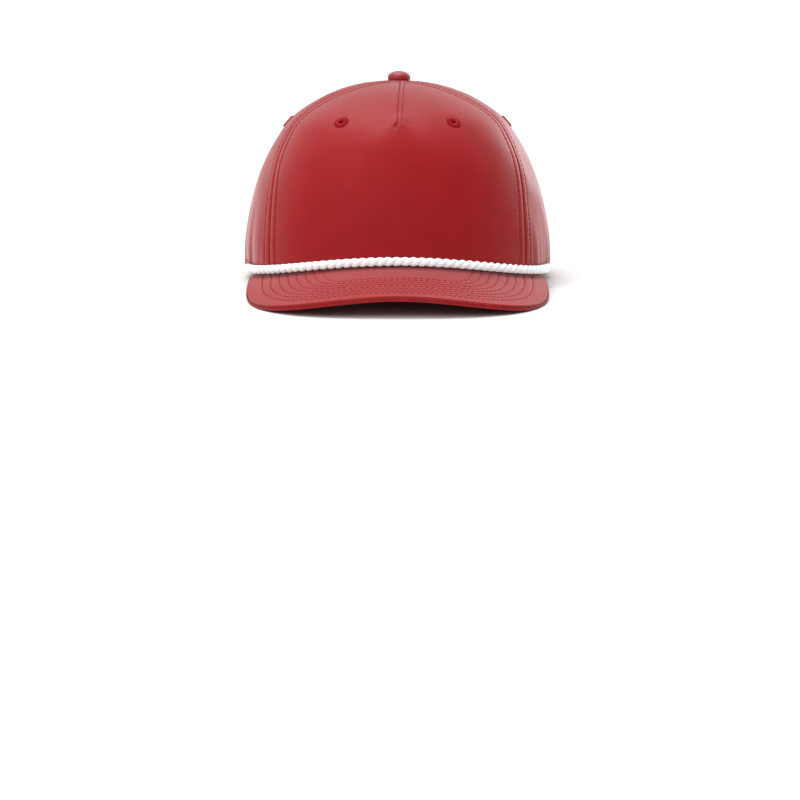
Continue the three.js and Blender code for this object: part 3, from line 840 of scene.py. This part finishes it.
def arch_on_crown(crown, radius, turns):
    """Angle and level of points on the round arch of the back opening, seen from behind."""
    x = radius * np.cos(turns)
    z = radius * np.sin(turns)
    angle = np.full_like(turns, 165.0)
    level = np.full_like(turns, 0.2)
    step = 0.01
    for _ in range(40):
        here = crown.point(angle, level)
        rise = crown.point(angle, np.minimum(level + step, 1))[..., 2] - here[..., 2]
        level = np.clip(level + (z - here[..., 2]) / rise * step, 0, 0.9)
        turn = crown.point(angle + step, level)[..., 0] - crown.point(angle, level)[..., 0]
        angle = angle + (x - crown.point(angle, level)[..., 0]) / turn * step
    return angle, level


def make_back_panel(crown, scene, sign, name):
    """A back panel, with the arched opening's edge turned in."""
    radius = scene.cap_crown.opening
    turns = np.radians(np.linspace(0, 90, 61))
    arch_angle, arch_level = arch_on_crown(crown, radius, turns)
    rim_angle = spread((REAR_SEAM_ANGLE, REAR_SEAM_ANGLE + 4, float(arch_angle[0])), (12, 26))[:-1]
    base_angle = np.concatenate([rim_angle, arch_angle])
    base_level = np.concatenate([np.zeros_like(rim_angle), arch_level])
    top_share = spread((0, 0.06, 0.94, 1), (12, len(base_angle) - 25, 12))
    rows = spread((0, 0.09, 1), (22, 92))[:, None]
    level = base_level + (1 - base_level) * rows
    top_angle = REAR_SEAM_ANGLE + (180 - REAR_SEAM_ANGLE) * top_share
    angle = base_angle + (top_angle - base_angle) * rows ** 0.6
    gap = np.degrees(SEAM_GAP / crown.radius(crown.section(level), angle))
    middle = (REAR_SEAM_ANGLE + 180) / 2
    angle = angle + gap * (middle - angle) / (180 - middle)
    if sign < 0:
        angle = -angle[:, ::-1]
        level = level[:, ::-1]
    panel = PanelGrid(crown, angle, level)
    eyelets = crown.eyelets(scene, "back", name)
    from_arch = np.hypot(panel.points[..., 0], panel.points[..., 2]) - radius
    beside_arch = ease(from_arch, 5 * MM, 9 * MM) * (panel.level < 0.2)
    panel.raise_by(panel.seam_relief(40 + sign) + panel.soft_relief(50 + sign, 0.4 * MM)
                   + ridges(from_arch, ARCH_RIDGES) + beside_arch * ridges(panel.up, HEM_RIDGES)
                   + panel.eyelet_relief(eyelets))
    piece = panel.shell(f"back_panel_{name}_cloth", crown.wall, eyelets)
    above_floor(piece)
    trims = scene.cap_trims
    stitches = panel.seam_stitches(trims)
    rim_columns = slice(1, len(rim_angle) - 3)
    if sign < 0:
        rim_columns = slice(4 - len(rim_angle), -1)
    stitches.append(panel.stitches_across(rim_columns, panel.up, HEM_STITCH, trims))
    arch_columns = slice(len(rim_angle), None) if sign > 0 else slice(None, len(arch_angle))
    for distance in ARCH_STITCHES:
        stitches.append(panel.stitches_across(arch_columns, from_arch, distance, trims))
    return piece, stitches


class CAP_OT_crown(bpy.types.Operator):
    """Makes the crown's five panels of cloth and their stitching"""

    bl_idname = "cap.crown"
    bl_label = "Crown panels"

    def execute(self, context):
        scene = context.scene
        crown = Crown(scene)
        cloth = polyester_twill("crown_twill", scene.cap_colours.cloth, sheen=0.48, gloss=0.2)
        thread = embroidery_thread("sewing_thread", scene.cap_colours.thread)
        piece, stitches, fold_shade_thread = make_front_panel(crown, scene)
        stiffened = polyester_twill("stiffened_twill", scene.cap_colours.cloth, sheen=0.66, gloss=0.17)
        finished(piece, stiffened, "crown_cloth", "front_panel")
        # Dark thread in the dart's fold, as painted shade for its shadow.
        finished(stitch_mesh("dart_fold_shade_thread", fold_shade_thread, DartFoldShadeThread), thread, "eyelet_thread")
        for name, sign in (("left", -1), ("right", 1)):
            piece, more = make_side_panel(crown, scene, sign, name)
            finished(piece, cloth, "crown_cloth", f"side_panel_{name}")
            stitches += more
            piece, more = make_back_panel(crown, scene, sign, name)
            finished(piece, cloth, "crown_cloth", f"back_panel_{name}")
            stitches += more
        finished(stitch_mesh("crown_stitches", stitches, scene.cap_trims), thread, "eyelet_thread")
        return {"FINISHED"}


# Eyelets and button

# Radius and height of an eyelet's thread wrap, in millimetres from the cloth's outer face.
EYELET_WRAP = np.array([
    (4.10, -0.15), (3.95, 0.50), (3.10, 0.95), (2.10, 0.98), (1.42, 0.62), (1.20, -0.10),
    (1.20, -1.60), (1.45, -2.20), (2.20, -2.45), (3.10, -2.25), (3.20, -1.80), (2.50, -1.00),
    (2.60, -0.60), (3.60, -0.45),
])


def smooth_loop(corners, steps):
    """A closed curve through the corners."""
    place = np.arange(steps) / steps * len(corners)
    start = place.astype(int)
    part = (place - start)[:, None]
    return through(*(corners[(start + step) % len(corners)] for step in (-1, 0, 1, 2)), part)


def make_eyelet(name, trims, point, direction, seed):
    """A ring of satin stitches wrapped over the edge of its hole."""
    threads = 42
    around = np.linspace(0, 1, threads * 4 + 1)
    profile = smooth_loop(EYELET_WRAP * MM, 22)
    profile = np.vstack([profile, profile[:1]])
    outermost, innermost = EYELET_WRAP[0, 0] * MM, EYELET_WRAP[5, 0] * MM
    scale = (trims.eyelet_radius - trims.eyelet_hole) / (outermost - innermost)
    radius = trims.eyelet_hole + (profile[:, :1] - innermost) * scale
    height = profile[:, 1:]
    turn = 2 * np.pi * around[None]
    ridge = np.abs(np.cos(turn * threads / 2)) - 0.5
    share = ease(radius, trims.eyelet_hole, trims.eyelet_radius)
    uneven = ripple(around[None] * threads, 2.7, seed) * 0.13 * MM * share
    uneven[:, -1] = uneven[:, 0]
    outward = radius + uneven + ridge * 0.10 * MM * share
    raised = height + ridge * 0.16 * MM * (0.35 + share) * (height > -0.2 * MM)
    slant = turn + 0.10 * (radius / trims.eyelet_radius)
    grid = np.stack([outward * np.cos(slant), outward * np.sin(slant), raised + 0 * turn], axis=-1)
    piece = closed_mesh(name, grid)
    piece.data.transform(standing(point, direction))
    smooth(piece, 70)
    return piece


class CAP_OT_eyelets(bpy.types.Operator):
    """Makes the embroidered eyelets"""

    bl_idname = "cap.eyelets"
    bl_label = "Eyelets"

    def execute(self, context):
        scene = context.scene
        crown = Crown(scene)
        thread = embroidery_thread("eyelet_thread", scene.cap_colours.cloth)
        for seed, (place, side, angle, level) in enumerate(crown.eyelets(scene)):
            normal = crown.normal(angle, level)
            point = crown.point(angle, level) - normal * 0.35 * MM
            piece = make_eyelet(f"eyelet_{place}_{side}_stitched", scene.cap_trims, point, normal, seed)
            finished(piece, thread, "eyelet_thread", f"eyelet_{place}_{side}")
        return {"FINISHED"}


def make_button(trims, point, direction):
    """A domed button covered in the crown's cloth, which gathers under its edge and sits in the top."""
    around = np.linspace(0, 1, 97)[None]
    turn = 2 * np.pi * around
    share = np.linspace(0, 1, 25)[:, None]
    dome = np.radians(90 - 158 * share)
    upper_fullness, lower_fullness = 1.0, 0.5
    sunk = 1.6 * MM
    fullness = np.where(dome > 0, upper_fullness, lower_fullness)
    radius = trims.button_radius * np.maximum(np.cos(dome), 0) ** fullness
    waist = trims.button_height * 0.34
    height = waist + np.where(dome > 0, trims.button_height - waist, waist + sunk) * np.sin(dome)
    gathers = (np.abs(np.sin(turn * 8 + 0.6)) - 0.4) * (1 - ease(height, 0, waist * 1.3))
    radius = radius + gathers * 0.25 * MM * (radius > 2 * MM)
    grid = np.stack([radius * np.cos(turn), radius * np.sin(turn), height + 0 * turn], axis=-1)
    foot = grid[-1:] * (0, 0, 1)
    grid = np.concatenate([grid, foot])
    piece = closed_mesh("button_cover", grid)
    piece.data.transform(standing(point, direction))
    smooth(piece, 60)
    return piece


class CAP_OT_button(bpy.types.Operator):
    """Makes the covered button on top of the crown"""

    bl_idname = "cap.button"
    bl_label = "Button"

    def execute(self, context):
        scene = context.scene
        crown = Crown(scene)
        top = crown.settled(scene.cap_trims.button_shift, 0.0, crown.height)
        axis = crown.settled(0.0, 0.0, 1.0) - crown.settled(0.0, 0.0, 0.0)
        cloth = polyester_twill("button_twill", scene.cap_colours.cloth, sheen=1.0, gloss=0.7)
        finished(make_button(scene.cap_trims, top, axis), cloth, "crown_cloth", "top_button")
        return {"FINISHED"}


# The visor. across runs from -1 at its left end to 1 at its right end, inward from edge to root.

def boundary(low, high, too_far):
    """The last values from low to high that don't go too far, found by halving."""
    for _ in range(30):
        middle = (low + high) / 2
        beyond = too_far(middle)
        high = np.where(beyond, middle, high)
        low = np.where(beyond, low, middle)
    return low


class Visor:
    """The visor's upper face and its outline."""

    def __init__(self, crown, sizes):
        self.crown = crown
        self.sizes = sizes
        self.middle = sizes.corner_depth - sizes.reach + crown.place
        end = crown.point(VISOR_END_ANGLE - VISOR_TIP_TAPER, 0.0)
        self.end_turn = math.atan2(end[0], self.middle - end[1])
        self.outline = self.edge(np.linspace(-1, 1, 1201))[:, :2]

    def edge(self, across):
        turn = self.end_turn * np.asarray(across)
        squareness = 3.2
        side_depth = 400 * MM   # so long that the sides run almost straight back
        corner_share = 0.5      # where the corners lie between middle and end
        depth = np.where(np.cos(turn) > 0, self.sizes.corner_depth, side_depth)
        wide = np.abs(np.sin(turn)) / self.sizes.half_width
        deep = np.abs(np.cos(turn)) / depth
        radius = (wide ** squareness + deep ** squareness) ** (-1 / squareness)
        share = np.abs(across)
        middle_rise = self.sizes.front_rise * np.cos(np.pi / 2 * share / corner_share) ** 2
        rear = (share - corner_share) / (1 - corner_share)
        end_rise = self.sizes.end_rise * np.sin(np.pi / 2 * rear) ** 2
        rise = np.where(share < corner_share, middle_rise, end_rise)
        return np.stack([radius * np.sin(turn), self.middle - radius * np.cos(turn),
                         self.sizes.thickness + rise], axis=-1)

    def root(self, across):
        return self.crown.point(VISOR_END_ANGLE * np.asarray(across), 0.0, -self.crown.wall, -CLEARANCE)

    def face(self, across, inward):
        edge = self.edge(across)
        return edge + (self.root(across) - edge) * inward[..., None]

    def from_edge(self, points):
        """The shortest distance from each point to the outline, seen from above."""
        flat = points[..., :2].reshape(-1, 2)
        nearest = np.empty(len(flat))
        for start in range(0, len(flat), 4000):
            block = flat[start:start + 4000]
            away = np.linalg.norm(block[:, None] - self.outline[None], axis=-1)
            nearest[start:start + 4000] = away.min(axis=1)
        return nearest.reshape(points.shape[:-1])

    def face_at(self, flat):
        """The points of the upper face over places given by x and y."""
        def seen_from_edge(across):
            edge = self.edge(across)[:, :2]
            return self.root(across)[:, :2] - edge, flat - edge

        def too_far(across):
            ahead, away = seen_from_edge(across)
            return ahead[:, 0] * away[:, 1] - ahead[:, 1] * away[:, 0] >= 0

        across = boundary(np.full(len(flat), -1.0), 1.0, too_far)
        ahead, away = seen_from_edge(across)
        inward = (away * ahead).sum(axis=1) / (ahead * ahead).sum(axis=1)
        return self.face(across, inward)

    def row_distances(self):
        return self.sizes.first_row + self.sizes.row_pitch * np.arange(self.sizes.rows)

    def row_relief(self, from_edge):
        """The cover is drawn down at each row of stitching and swells between the rows."""
        first, *_, last = self.row_distances()
        phase = (from_edge - first) / self.sizes.row_pitch
        inside = ease(from_edge, first - 2.5 * MM, first) * (1 - ease(from_edge, last, last + 2.5 * MM))
        rows = [bump(from_edge - row, 0.8 * MM) for row in self.row_distances()]
        return (-ROW_GROOVE * sum(rows)
                + 0.06 * MM * inside * (0.5 - 0.5 * np.cos(2 * np.pi * phase)))

    def row_path(self, distance):
        """One row of stitching: a line at one distance from the edge, up to the rope."""
        turn = np.linspace(-1, 1, 361) * self.end_turn * 0.97
        heading = np.stack([np.sin(turn), -np.cos(turn)], axis=-1)
        places = lambda radius: heading * radius[:, None] + (0, self.middle)

        def too_far(radius):
            return ~self.holds(places(radius)) | (self.from_edge(places(radius)) < distance)

        radius = boundary(np.zeros(len(turn)), self.sizes.reach, too_far)
        path = self.face_at(places(radius))
        bearing = np.degrees(np.arctan2(path[:, 0], self.crown.place - path[:, 1]))
        rim = self.crown.radius(self.crown.section(0.0), bearing)
        clear = np.hypot(path[:, 0], path[:, 1] - self.crown.place) > rim + 0.5 * MM
        kept = np.flatnonzero(clear & (np.abs(bearing) < VISOR_END_ANGLE) & (radius > 2 * MM))
        return path[kept[0]:kept[-1] + 1]

    def holds(self, places):
        """Whether places given by x and y lie within the outline, as seen from its middle."""
        turn = np.arctan2(places[:, 0], self.middle - places[:, 1])
        outline = self.edge(np.clip(turn / self.end_turn, -1, 1))[:, :2] - (0, self.middle)
        return np.hypot(places[:, 0], places[:, 1] - self.middle) < np.linalg.norm(outline, axis=-1)


def make_visor_half(visor, name, depth, wall, relief, down):
    """One half of the visor, with its outer edge rounded towards the seam between the halves."""
    across = spread((-1, -0.52, 0.52, 1), (70, 150, 70))
    inward = spread((0, 0.06, 0.75, 1), (10, 84, 14))
    across, inward = np.meshgrid(-across if down else across, inward)
    points = visor.face(across, inward)
    away = visor.from_edge(points)
    weave = points[..., :2]
    points = points + (0, 0, -depth)
    points[..., 2] += visor.row_relief(away) * relief
    piece = sheet_mesh(name, points, weave)
    thicken(piece, wall)
    soften_edges(piece, 0.55 * MM, 3, 55)
    return piece


class CAP_OT_visor(bpy.types.Operator):
    """Makes the visor's two halves and their rows of stitching"""

    bl_idname = "cap.visor"
    bl_label = "Visor"

    def execute(self, context):
        scene = context.scene
        sizes = scene.cap_visor
        visor = Visor(Crown(scene), sizes)
        cloth = polyester_twill("visor_twill", scene.cap_colours.cloth, sheen=0.35)
        # The underside is the cloth painted darker, as painted shade, and has no sheen.
        underside = polyester_twill("underside_shaded_twill", scene.cap_colours.underside, sheen=0.0)
        thread = embroidery_thread("visor_thread", scene.cap_colours.thread)
        wall = sizes.thickness / 2 - 0.03 * MM
        upper = make_visor_half(visor, "visor_upper_cover", 0.0, wall, 1.0, False)
        lower = make_visor_half(visor, "visor_lower_cover", sizes.thickness, wall, -UNDER_RELIEF, True)
        finished(upper, cloth, "visor_cloth", "visor_upper")
        finished(lower, underside, "visor_cloth", "visor_lower")
        above_floor(lower)
        rows = []
        for distance in visor.row_distances():
            path = visor.row_path(distance)
            for height, up in ((-ROW_GROOVE, 1.0), (UNDER_RELIEF * ROW_GROOVE - sizes.thickness, -1.0)):
                facing = np.broadcast_to((0.0, 0.0, up), path.shape)
                rows.append(stitches_along(path + (0, 0, height), facing, sizes))
        finished(stitch_mesh("visor_stitches", rows, sizes), thread, "eyelet_thread")
        return {"FINISHED"}


# The rope

STRANDS = 2
STRAND_SHARE = 0.64     # a strand's radius as a share of the rope's


def make_strand(name, centre, up, out, turn, radius, offset):
    """One strand of the rope, wound round its middle line and closed to a round tip at each end."""
    sides = np.linspace(0, 2 * np.pi, 19)
    reach = lengths(centre[None], 1)[0]
    to_end = np.minimum(reach, reach[-1] - reach)
    tip = 2.2 * MM
    blunt = np.sqrt(1 - (1 - np.clip(to_end / tip, 0, 1)) ** 2)
    path = centre + (up * np.cos(turn)[:, None] + out * np.sin(turn)[:, None]) * (offset * blunt)[:, None]
    forward = unit(np.gradient(path, axis=0))
    side = unit(np.cross(forward, up))
    rise = np.cross(side, forward)
    swell = 1 + 0.05 * ripple(reach, 5 * MM, len(name))
    girth = (radius * swell * blunt)[:, None, None]
    grid = path[:, None] + girth * (side[:, None] * np.cos(sides)[None, :, None]
                                    + rise[:, None] * np.sin(sides)[None, :, None])
    return closed_mesh(name, grid)


class CAP_OT_rope(bpy.types.Operator):
    """Makes the twisted rope along the corner between crown and visor"""

    bl_idname = "cap.rope"
    bl_label = "Rope"

    def execute(self, context):
        scene = context.scene
        trims = scene.cap_trims
        crown = Crown(scene)
        half = trims.rope / 2
        angle = np.linspace(-CORD_END_ANGLE, CORD_END_ANGLE, 521)
        centre = crown.point(angle, 0.0, half + CLEARANCE, half)
        reach = lengths(centre[None], 1)[0]
        forward = unit(np.gradient(centre, axis=0))
        out = unit(np.cross(forward, (0.0, 0.0, 1.0)))
        up = np.cross(out, forward)
        strand = half * STRAND_SHARE
        strands = []
        for index in range(STRANDS):
            turn = -2 * np.pi * (reach / trims.rope_lay + index / STRANDS)
            strands.append(make_strand(f"rope_strand_{index}", centre, up, out, turn, strand, half - strand))
        piece = join(strands, "twisted_rope")
        smooth(piece, 80)
        finished(piece, twisted_cotton("cotton_rope", scene.cap_colours.rope), "rope_cotton", "visor_rope")
        return {"FINISHED"}


# Sweatband and straps

class CAP_OT_sweatband(bpy.types.Operator):
    """Makes the sweatband inside the rim"""

    bl_idname = "cap.sweatband"
    bl_label = "Sweatband"

    def execute(self, context):
        scene = context.scene
        crown = Crown(scene)
        sizes = scene.cap_straps
        angle = np.linspace(-BAND_END_ANGLE, BAND_END_ANGLE, 281)[None]
        rise = spread((0, 0.25, 0.9, 1), (12, 14, 5))[:, None]
        inset = crown.wall + LINING_GAP
        points = crown.lining_point(
            angle, LINING_GAP + sizes.band_height * rise, inset + 0 * angle * rise)
        up = lengths(points, 0)
        along = lengths(points, 1)
        quilt = (0.175 * bump(up - HEM_STITCH, 0.7 * MM)
                 + 0.15 * ripple(along, 37 * MM, 5) * ease(up, 8 * MM, 30 * MM) ** 2) * MM
        points = points + grid_normals(points) * quilt[..., None]
        piece = sheet_mesh("sweatband_cloth", points)
        wall = 1.5 * MM
        thicken(piece, wall)
        soften_edges(piece, 0.4 * MM, 2, 60)
        above_floor(piece)
        cloth = polyester_twill("sweatband_cotton", scene.cap_colours.band, rib=1.0 * MM,
                                depth=0.10 * MM, sheen=0.2, roughness=0.8)
        finished(piece, cloth, "sweatband_cloth", "sweatband")
        normals = grid_normals(points)
        inner = (points - normals * wall).swapaxes(0, 1)
        facing = -normals.swapaxes(0, 1)
        stitches = [stitched_line(inner, facing, up.T, HEM_STITCH, scene.cap_trims)]
        thread = embroidery_thread("band_thread", scene.cap_colours.thread)
        finished(stitch_mesh("sweatband_stitches", stitches, scene.cap_trims), thread, "eyelet_thread")
        return {"FINISHED"}


class Strap:
    """Where the two straps lie. Places are lengths along the crown from the middle of the back,
    growing towards the left side of the cap."""

    lift = 1 * MM           # lower edge above the rim
    tuck = 10 * MM          # sewn in behind each side of the opening
    end = 7 * MM            # from the last hole or peg to the free end
    sink = 0.7 * MM         # the outer strap's face behind the cloth's outer face
    engaged = 4             # pegs in holes

    def __init__(self, crown, scene):
        self.crown = crown
        self.sizes = scene.cap_straps
        self.opening = scene.cap_crown.opening
        self.middle = self.lift + self.sizes.width / 2
        self.last = self.sizes.peg_pitch * (self.engaged - 1) / 2
        self.free = self.last + self.end
        self.sewn = self.opening + self.tuck
        self.inner = crown.wall + LINING_GAP

    def angle(self, place):
        return 180 + np.degrees(place / (self.crown.length / 2))

    def opening_at(self, height):
        return np.sqrt(self.opening ** 2 - height ** 2)

    def outer_inset(self, place):
        """The outer strap lies in the opening and slips in behind the cloth at its side."""
        start = self.free + self.end / 2
        end = self.opening_at(self.lift + self.sizes.width) - self.lift
        return self.sink + (self.inner - self.sink) * ease(place, start, end)

    def inset(self, side, place):
        return self.outer_inset(place) if side > 0 else np.full_like(place, self.inner)

    def places(self, side):
        """Places of the pegs or holes."""
        radius = self.sizes.peg_radius
        limit = self.opening_at(self.middle + radius) - radius - 0.3 * MM
        count = int((limit + self.last) / self.sizes.peg_pitch + 1e-6) + 1
        return side * (np.arange(count) * self.sizes.peg_pitch - self.last)

    def seat(self, side, place):
        """Point on the strap's outer face and the direction out of it, at a peg or hole."""
        place = np.array([place])
        angle = self.angle(place)
        level = self.crown.level_at(self.middle)
        outward = unit(self.crown.normal(angle, level) * (1, 1, 0))[0]
        return self.crown.lining_point(angle, self.middle, self.inset(side, place))[0], outward

    def strip(self, side, name):
        """The strip with its round free end and a low bead along its edge."""
        half = self.sizes.width / 2
        rise = np.radians(spread((0, 25, 155, 180), (9, 26, 9)))[:, None]
        share = spread((0, 0.12, 1), (26, 110))
        share = share if side > 0 else 1 - share[::-1]
        height = half * (1 - np.cos(rise))
        free = -self.free + half * (1 - np.sin(rise))
        along = free + (self.sewn - free) * (share if side > 0 else 1 - share)
        place = side * along
        points = self.crown.lining_point(
            self.angle(place), self.lift + height + 0 * place, self.inset(side, place))
        from_tip = np.hypot(np.minimum(along + self.free - half, 0), height - half)
        to_edge = half - np.where(along < half - self.free, from_tip, np.abs(height - half))
        bead = 0.22 * MM * bump(to_edge - 1.3 * MM, 0.45 * MM) - 0.25 * MM * bump(to_edge, 0.35 * MM)
        points = points + grid_normals(points) * bead[..., None]
        piece = sheet_mesh(name, points)
        thicken(piece, self.sizes.wall)
        return piece


# The steps by which a peg's neck is drawn out into its domed head: a rise as a share of the peg's
# length, and then a change of width.
PEG_HEAD = ((0.0, 1.16), (0.14, 1.0), (0.14, 0.86), (0.09, 0.62), (0.03, 0.4))


def make_peg(radius, length):
    """A round peg with a domed head, standing on Z = 0."""
    neck = radius * 0.86
    peg = primitive(bpy.ops.mesh.primitive_cylinder_add, vertices=28, radius=neck,
                    depth=length * 0.9, location=(0, 0, length * 0.15))
    bpy.ops.object.transform_apply(location=True, rotation=False, scale=False)
    bpy.ops.object.mode_set(mode="EDIT")
    bpy.ops.mesh.select_mode(type="FACE")
    bpy.ops.mesh.select_all(action="DESELECT")
    bpy.ops.object.mode_set(mode="OBJECT")
    for face in peg.data.polygons:
        face.select = face.normal.z > 0.9
    bpy.ops.object.mode_set(mode="EDIT")
    centre = (0, 0, length * 0.6)
    for rise, scale in PEG_HEAD:
        bpy.ops.mesh.extrude_region_move(TRANSFORM_OT_translate={"value": (0, 0, length * rise)})
        bpy.ops.transform.resize(value=(scale, scale, 1), center_override=centre)
    bpy.ops.object.mode_set(mode="OBJECT")
    return peg


class CAP_OT_straps(bpy.types.Operator):
    """Makes the two plastic straps across the back opening"""

    bl_idname = "cap.straps"
    bl_label = "Snap straps"

    def execute(self, context):
        scene = context.scene
        sizes = scene.cap_straps
        strap = Strap(Crown(scene), scene)
        plastic = moulded_plastic("strap_polyethylene", scene.cap_colours.plastic)
        holed = strap.strip(1, "snap_strap_with_holes")
        for place in strap.places(1):
            point, outward = strap.seat(1, place)
            cut_hole(holed, point, outward, sizes.hole_radius, 6 * sizes.wall)
        smooth(holed, 35)
        finished(holed, plastic, "strap_plastic", "snap_strap_holes")
        pegged = strap.strip(-1, "snap_strap_with_pegs")
        smooth(pegged, 35)
        peg = make_peg(sizes.peg_radius, 2.6 * MM)
        smooth(peg, 50)
        pieces = [pegged]
        for place in strap.places(-1):
            copy = peg.copy()
            copy.data = peg.data.copy()
            context.collection.objects.link(copy)
            point, outward = strap.seat(-1, place)
            copy.data.transform(standing(point, outward))
            pieces.append(copy)
        bpy.data.objects.remove(peg)
        finished(join(pieces, "snap_strap_with_pegs"), plastic, "strap_plastic", "snap_strap_pegs")
        return {"FINISHED"}


# Stage: floor, light and camera

PHOTO_SIDE = 800            # pixels
PHOTO_CENTRE = (397.5, 190) # where the camera's aim falls in the photograph
PIXEL = 0.58 * MM           # size of a pixel at the cap's middle
CAMERA_DISTANCE = 2.0
CAMERA_ELEVATION = math.radians(6.2)
AIM_HEIGHT = 44.66 * MM     # of the point on the crown's axis that is aimed at
SENSOR = 36.0               # millimetres
HORIZON_LIGHT = 0.12        # the surround's brightness level with the cap
ZENITH_LIGHT = 0.85         # and straight above it


def make_floor(colours):
    floor = primitive(bpy.ops.mesh.primitive_plane_add, size=60)
    floor.name = "floor"
    floor.data.materials.append(matt_paper("background_paper", colours.floor))


def make_surround():
    """A white background, which lights the cap more from above than from the horizon."""
    world = bpy.data.worlds.new("studio")
    world.use_nodes = True
    tree = world.node_tree
    surround = tree.nodes["Background"]
    surround.inputs["Color"].default_value = (1, 1, 1, 1)
    heading = add_node(tree, "ShaderNodeTexCoord").outputs["Generated"]
    rise = add_node(tree, "ShaderNodeSeparateXYZ", {"Vector": heading}).outputs["Z"]
    brightness = add_node(tree, "ShaderNodeMapRange",
                          {"Value": rise, "To Min": HORIZON_LIGHT, "To Max": ZENITH_LIGHT})
    tree.links.new(brightness.outputs["Result"], surround.inputs["Strength"])
    seen = add_node(tree, "ShaderNodeBackground", {"Color": (1, 1, 1, 1), "Strength": 1.0})
    rays = add_node(tree, "ShaderNodeLightPath").outputs["Is Camera Ray"]
    mix = add_node(tree, "ShaderNodeMixShader",
                   {0: rays, 1: surround.outputs["Background"], 2: seen.outputs["Background"]})
    tree.links.new(mix.outputs["Shader"], tree.nodes["World Output"].inputs["Surface"])
    return world


def make_light(name, kind, energy, direction, **settings):
    """A light that shines from a direction towards the cap."""
    data = bpy.data.lights.new(name, kind)
    data.energy = energy
    for option, value in settings.items():
        setattr(data, option, value)
    light = bpy.data.objects.new(name, data)
    bpy.context.collection.objects.link(light)
    light.location = Vector(direction)
    light.rotation_euler = Vector(direction).to_track_quat("Z", "Y").to_euler()


def make_camera(crown):
    """The photograph's view: level with the visor, from a little above, with the cap high in it."""
    aim = Vector(crown.settled(0.0, 0.0, AIM_HEIGHT))
    back = Vector((0, -math.cos(CAMERA_ELEVATION), math.sin(CAMERA_ELEVATION)))
    data = bpy.data.cameras.new("camera")
    camera = bpy.data.objects.new("camera", data)
    bpy.context.collection.objects.link(camera)
    focal = CAMERA_DISTANCE / PIXEL
    data.sensor_width = SENSOR
    data.lens = SENSOR * focal / PHOTO_SIDE
    camera.location = aim + back * CAMERA_DISTANCE
    down = math.atan((PHOTO_SIDE / 2 - PHOTO_CENTRE[1]) / focal)
    right = math.atan((PHOTO_SIDE / 2 - PHOTO_CENTRE[0]) / focal)
    camera.rotation_euler = (math.pi / 2 - CAMERA_ELEVATION - down, 0, -right)
    bpy.context.scene.camera = camera


class CAP_OT_stage(bpy.types.Operator):
    """Makes the floor, the light and the camera"""

    bl_idname = "cap.stage"
    bl_label = "Stage"

    def execute(self, context):
        scene = context.scene
        make_floor(scene.cap_colours)
        scene.world = make_surround()
        make_light("overhead", "SUN", 2.1, (-0.15, 0.2, 1.0), angle=math.radians(40))
        make_light("left_softbox", "AREA", 9.0, (-1.1, -1.3, 1.0), size=1.0)
        make_light("right_rim", "AREA", 13.0, (1.3, 2.1, 0.5), size=0.8)
        make_light("front_fill", "AREA", 6.0, (0.2, -2.4, 0.4), size=1.5)
        scene.view_settings.view_transform = "Standard"
        make_camera(Crown(scene))
        return {"FINISHED"}


class CAP_PT_parts(bpy.types.Panel):
    """Lists the cap's sizes, colours and parts"""

    bl_idname = "CAP_PT_parts"
    bl_label = "Snapback cap"
    bl_space_type = "VIEW_3D"
    bl_region_type = "UI"
    bl_category = "Cap"

    def draw(self, context):
        for attribute, title, _ in GROUPS:
            box = self.layout.box()
            box.label(text=title)
            group = getattr(context.scene, attribute)
            for name in group.bl_rna.properties.keys():
                if name not in {"rna_type", "name"}:
                    box.prop(group, name)
        for operator in OPERATORS:
            self.layout.operator(operator.bl_idname)


GROUPS = (
    ("cap_crown", "Crown", CapCrownSizes),
    ("cap_visor", "Visor", CapVisorSizes),
    ("cap_trims", "Rope, button, eyelets and stitches", CapTrimSizes),
    ("cap_straps", "Sweatband and straps", CapStrapSizes),
    ("cap_colours", "Colours", CapColours),
)
OPERATORS = (CAP_OT_crown, CAP_OT_eyelets, CAP_OT_button, CAP_OT_visor, CAP_OT_rope,
             CAP_OT_sweatband, CAP_OT_straps, CAP_OT_stage)


def register():
    for attribute, _, group in GROUPS:
        bpy.utils.register_class(group)
        setattr(bpy.types.Scene, attribute, bpy.props.PointerProperty(type=group))
    for operator in OPERATORS:
        bpy.utils.register_class(operator)
    bpy.utils.register_class(CAP_PT_parts)


def unregister():
    bpy.utils.unregister_class(CAP_PT_parts)
    for operator in reversed(OPERATORS):
        bpy.utils.unregister_class(operator)
    for attribute, _, group in reversed(GROUPS):
        delattr(bpy.types.Scene, attribute)
        bpy.utils.unregister_class(group)


def main():
    register()
    bpy.ops.cap.stage()
    bpy.ops.cap.crown()
    bpy.ops.cap.eyelets()
    bpy.ops.cap.button()
    bpy.ops.cap.visor()
    bpy.ops.cap.rope()
    bpy.ops.cap.sweatband()
    bpy.ops.cap.straps()


if __name__ == "__main__":
    main()
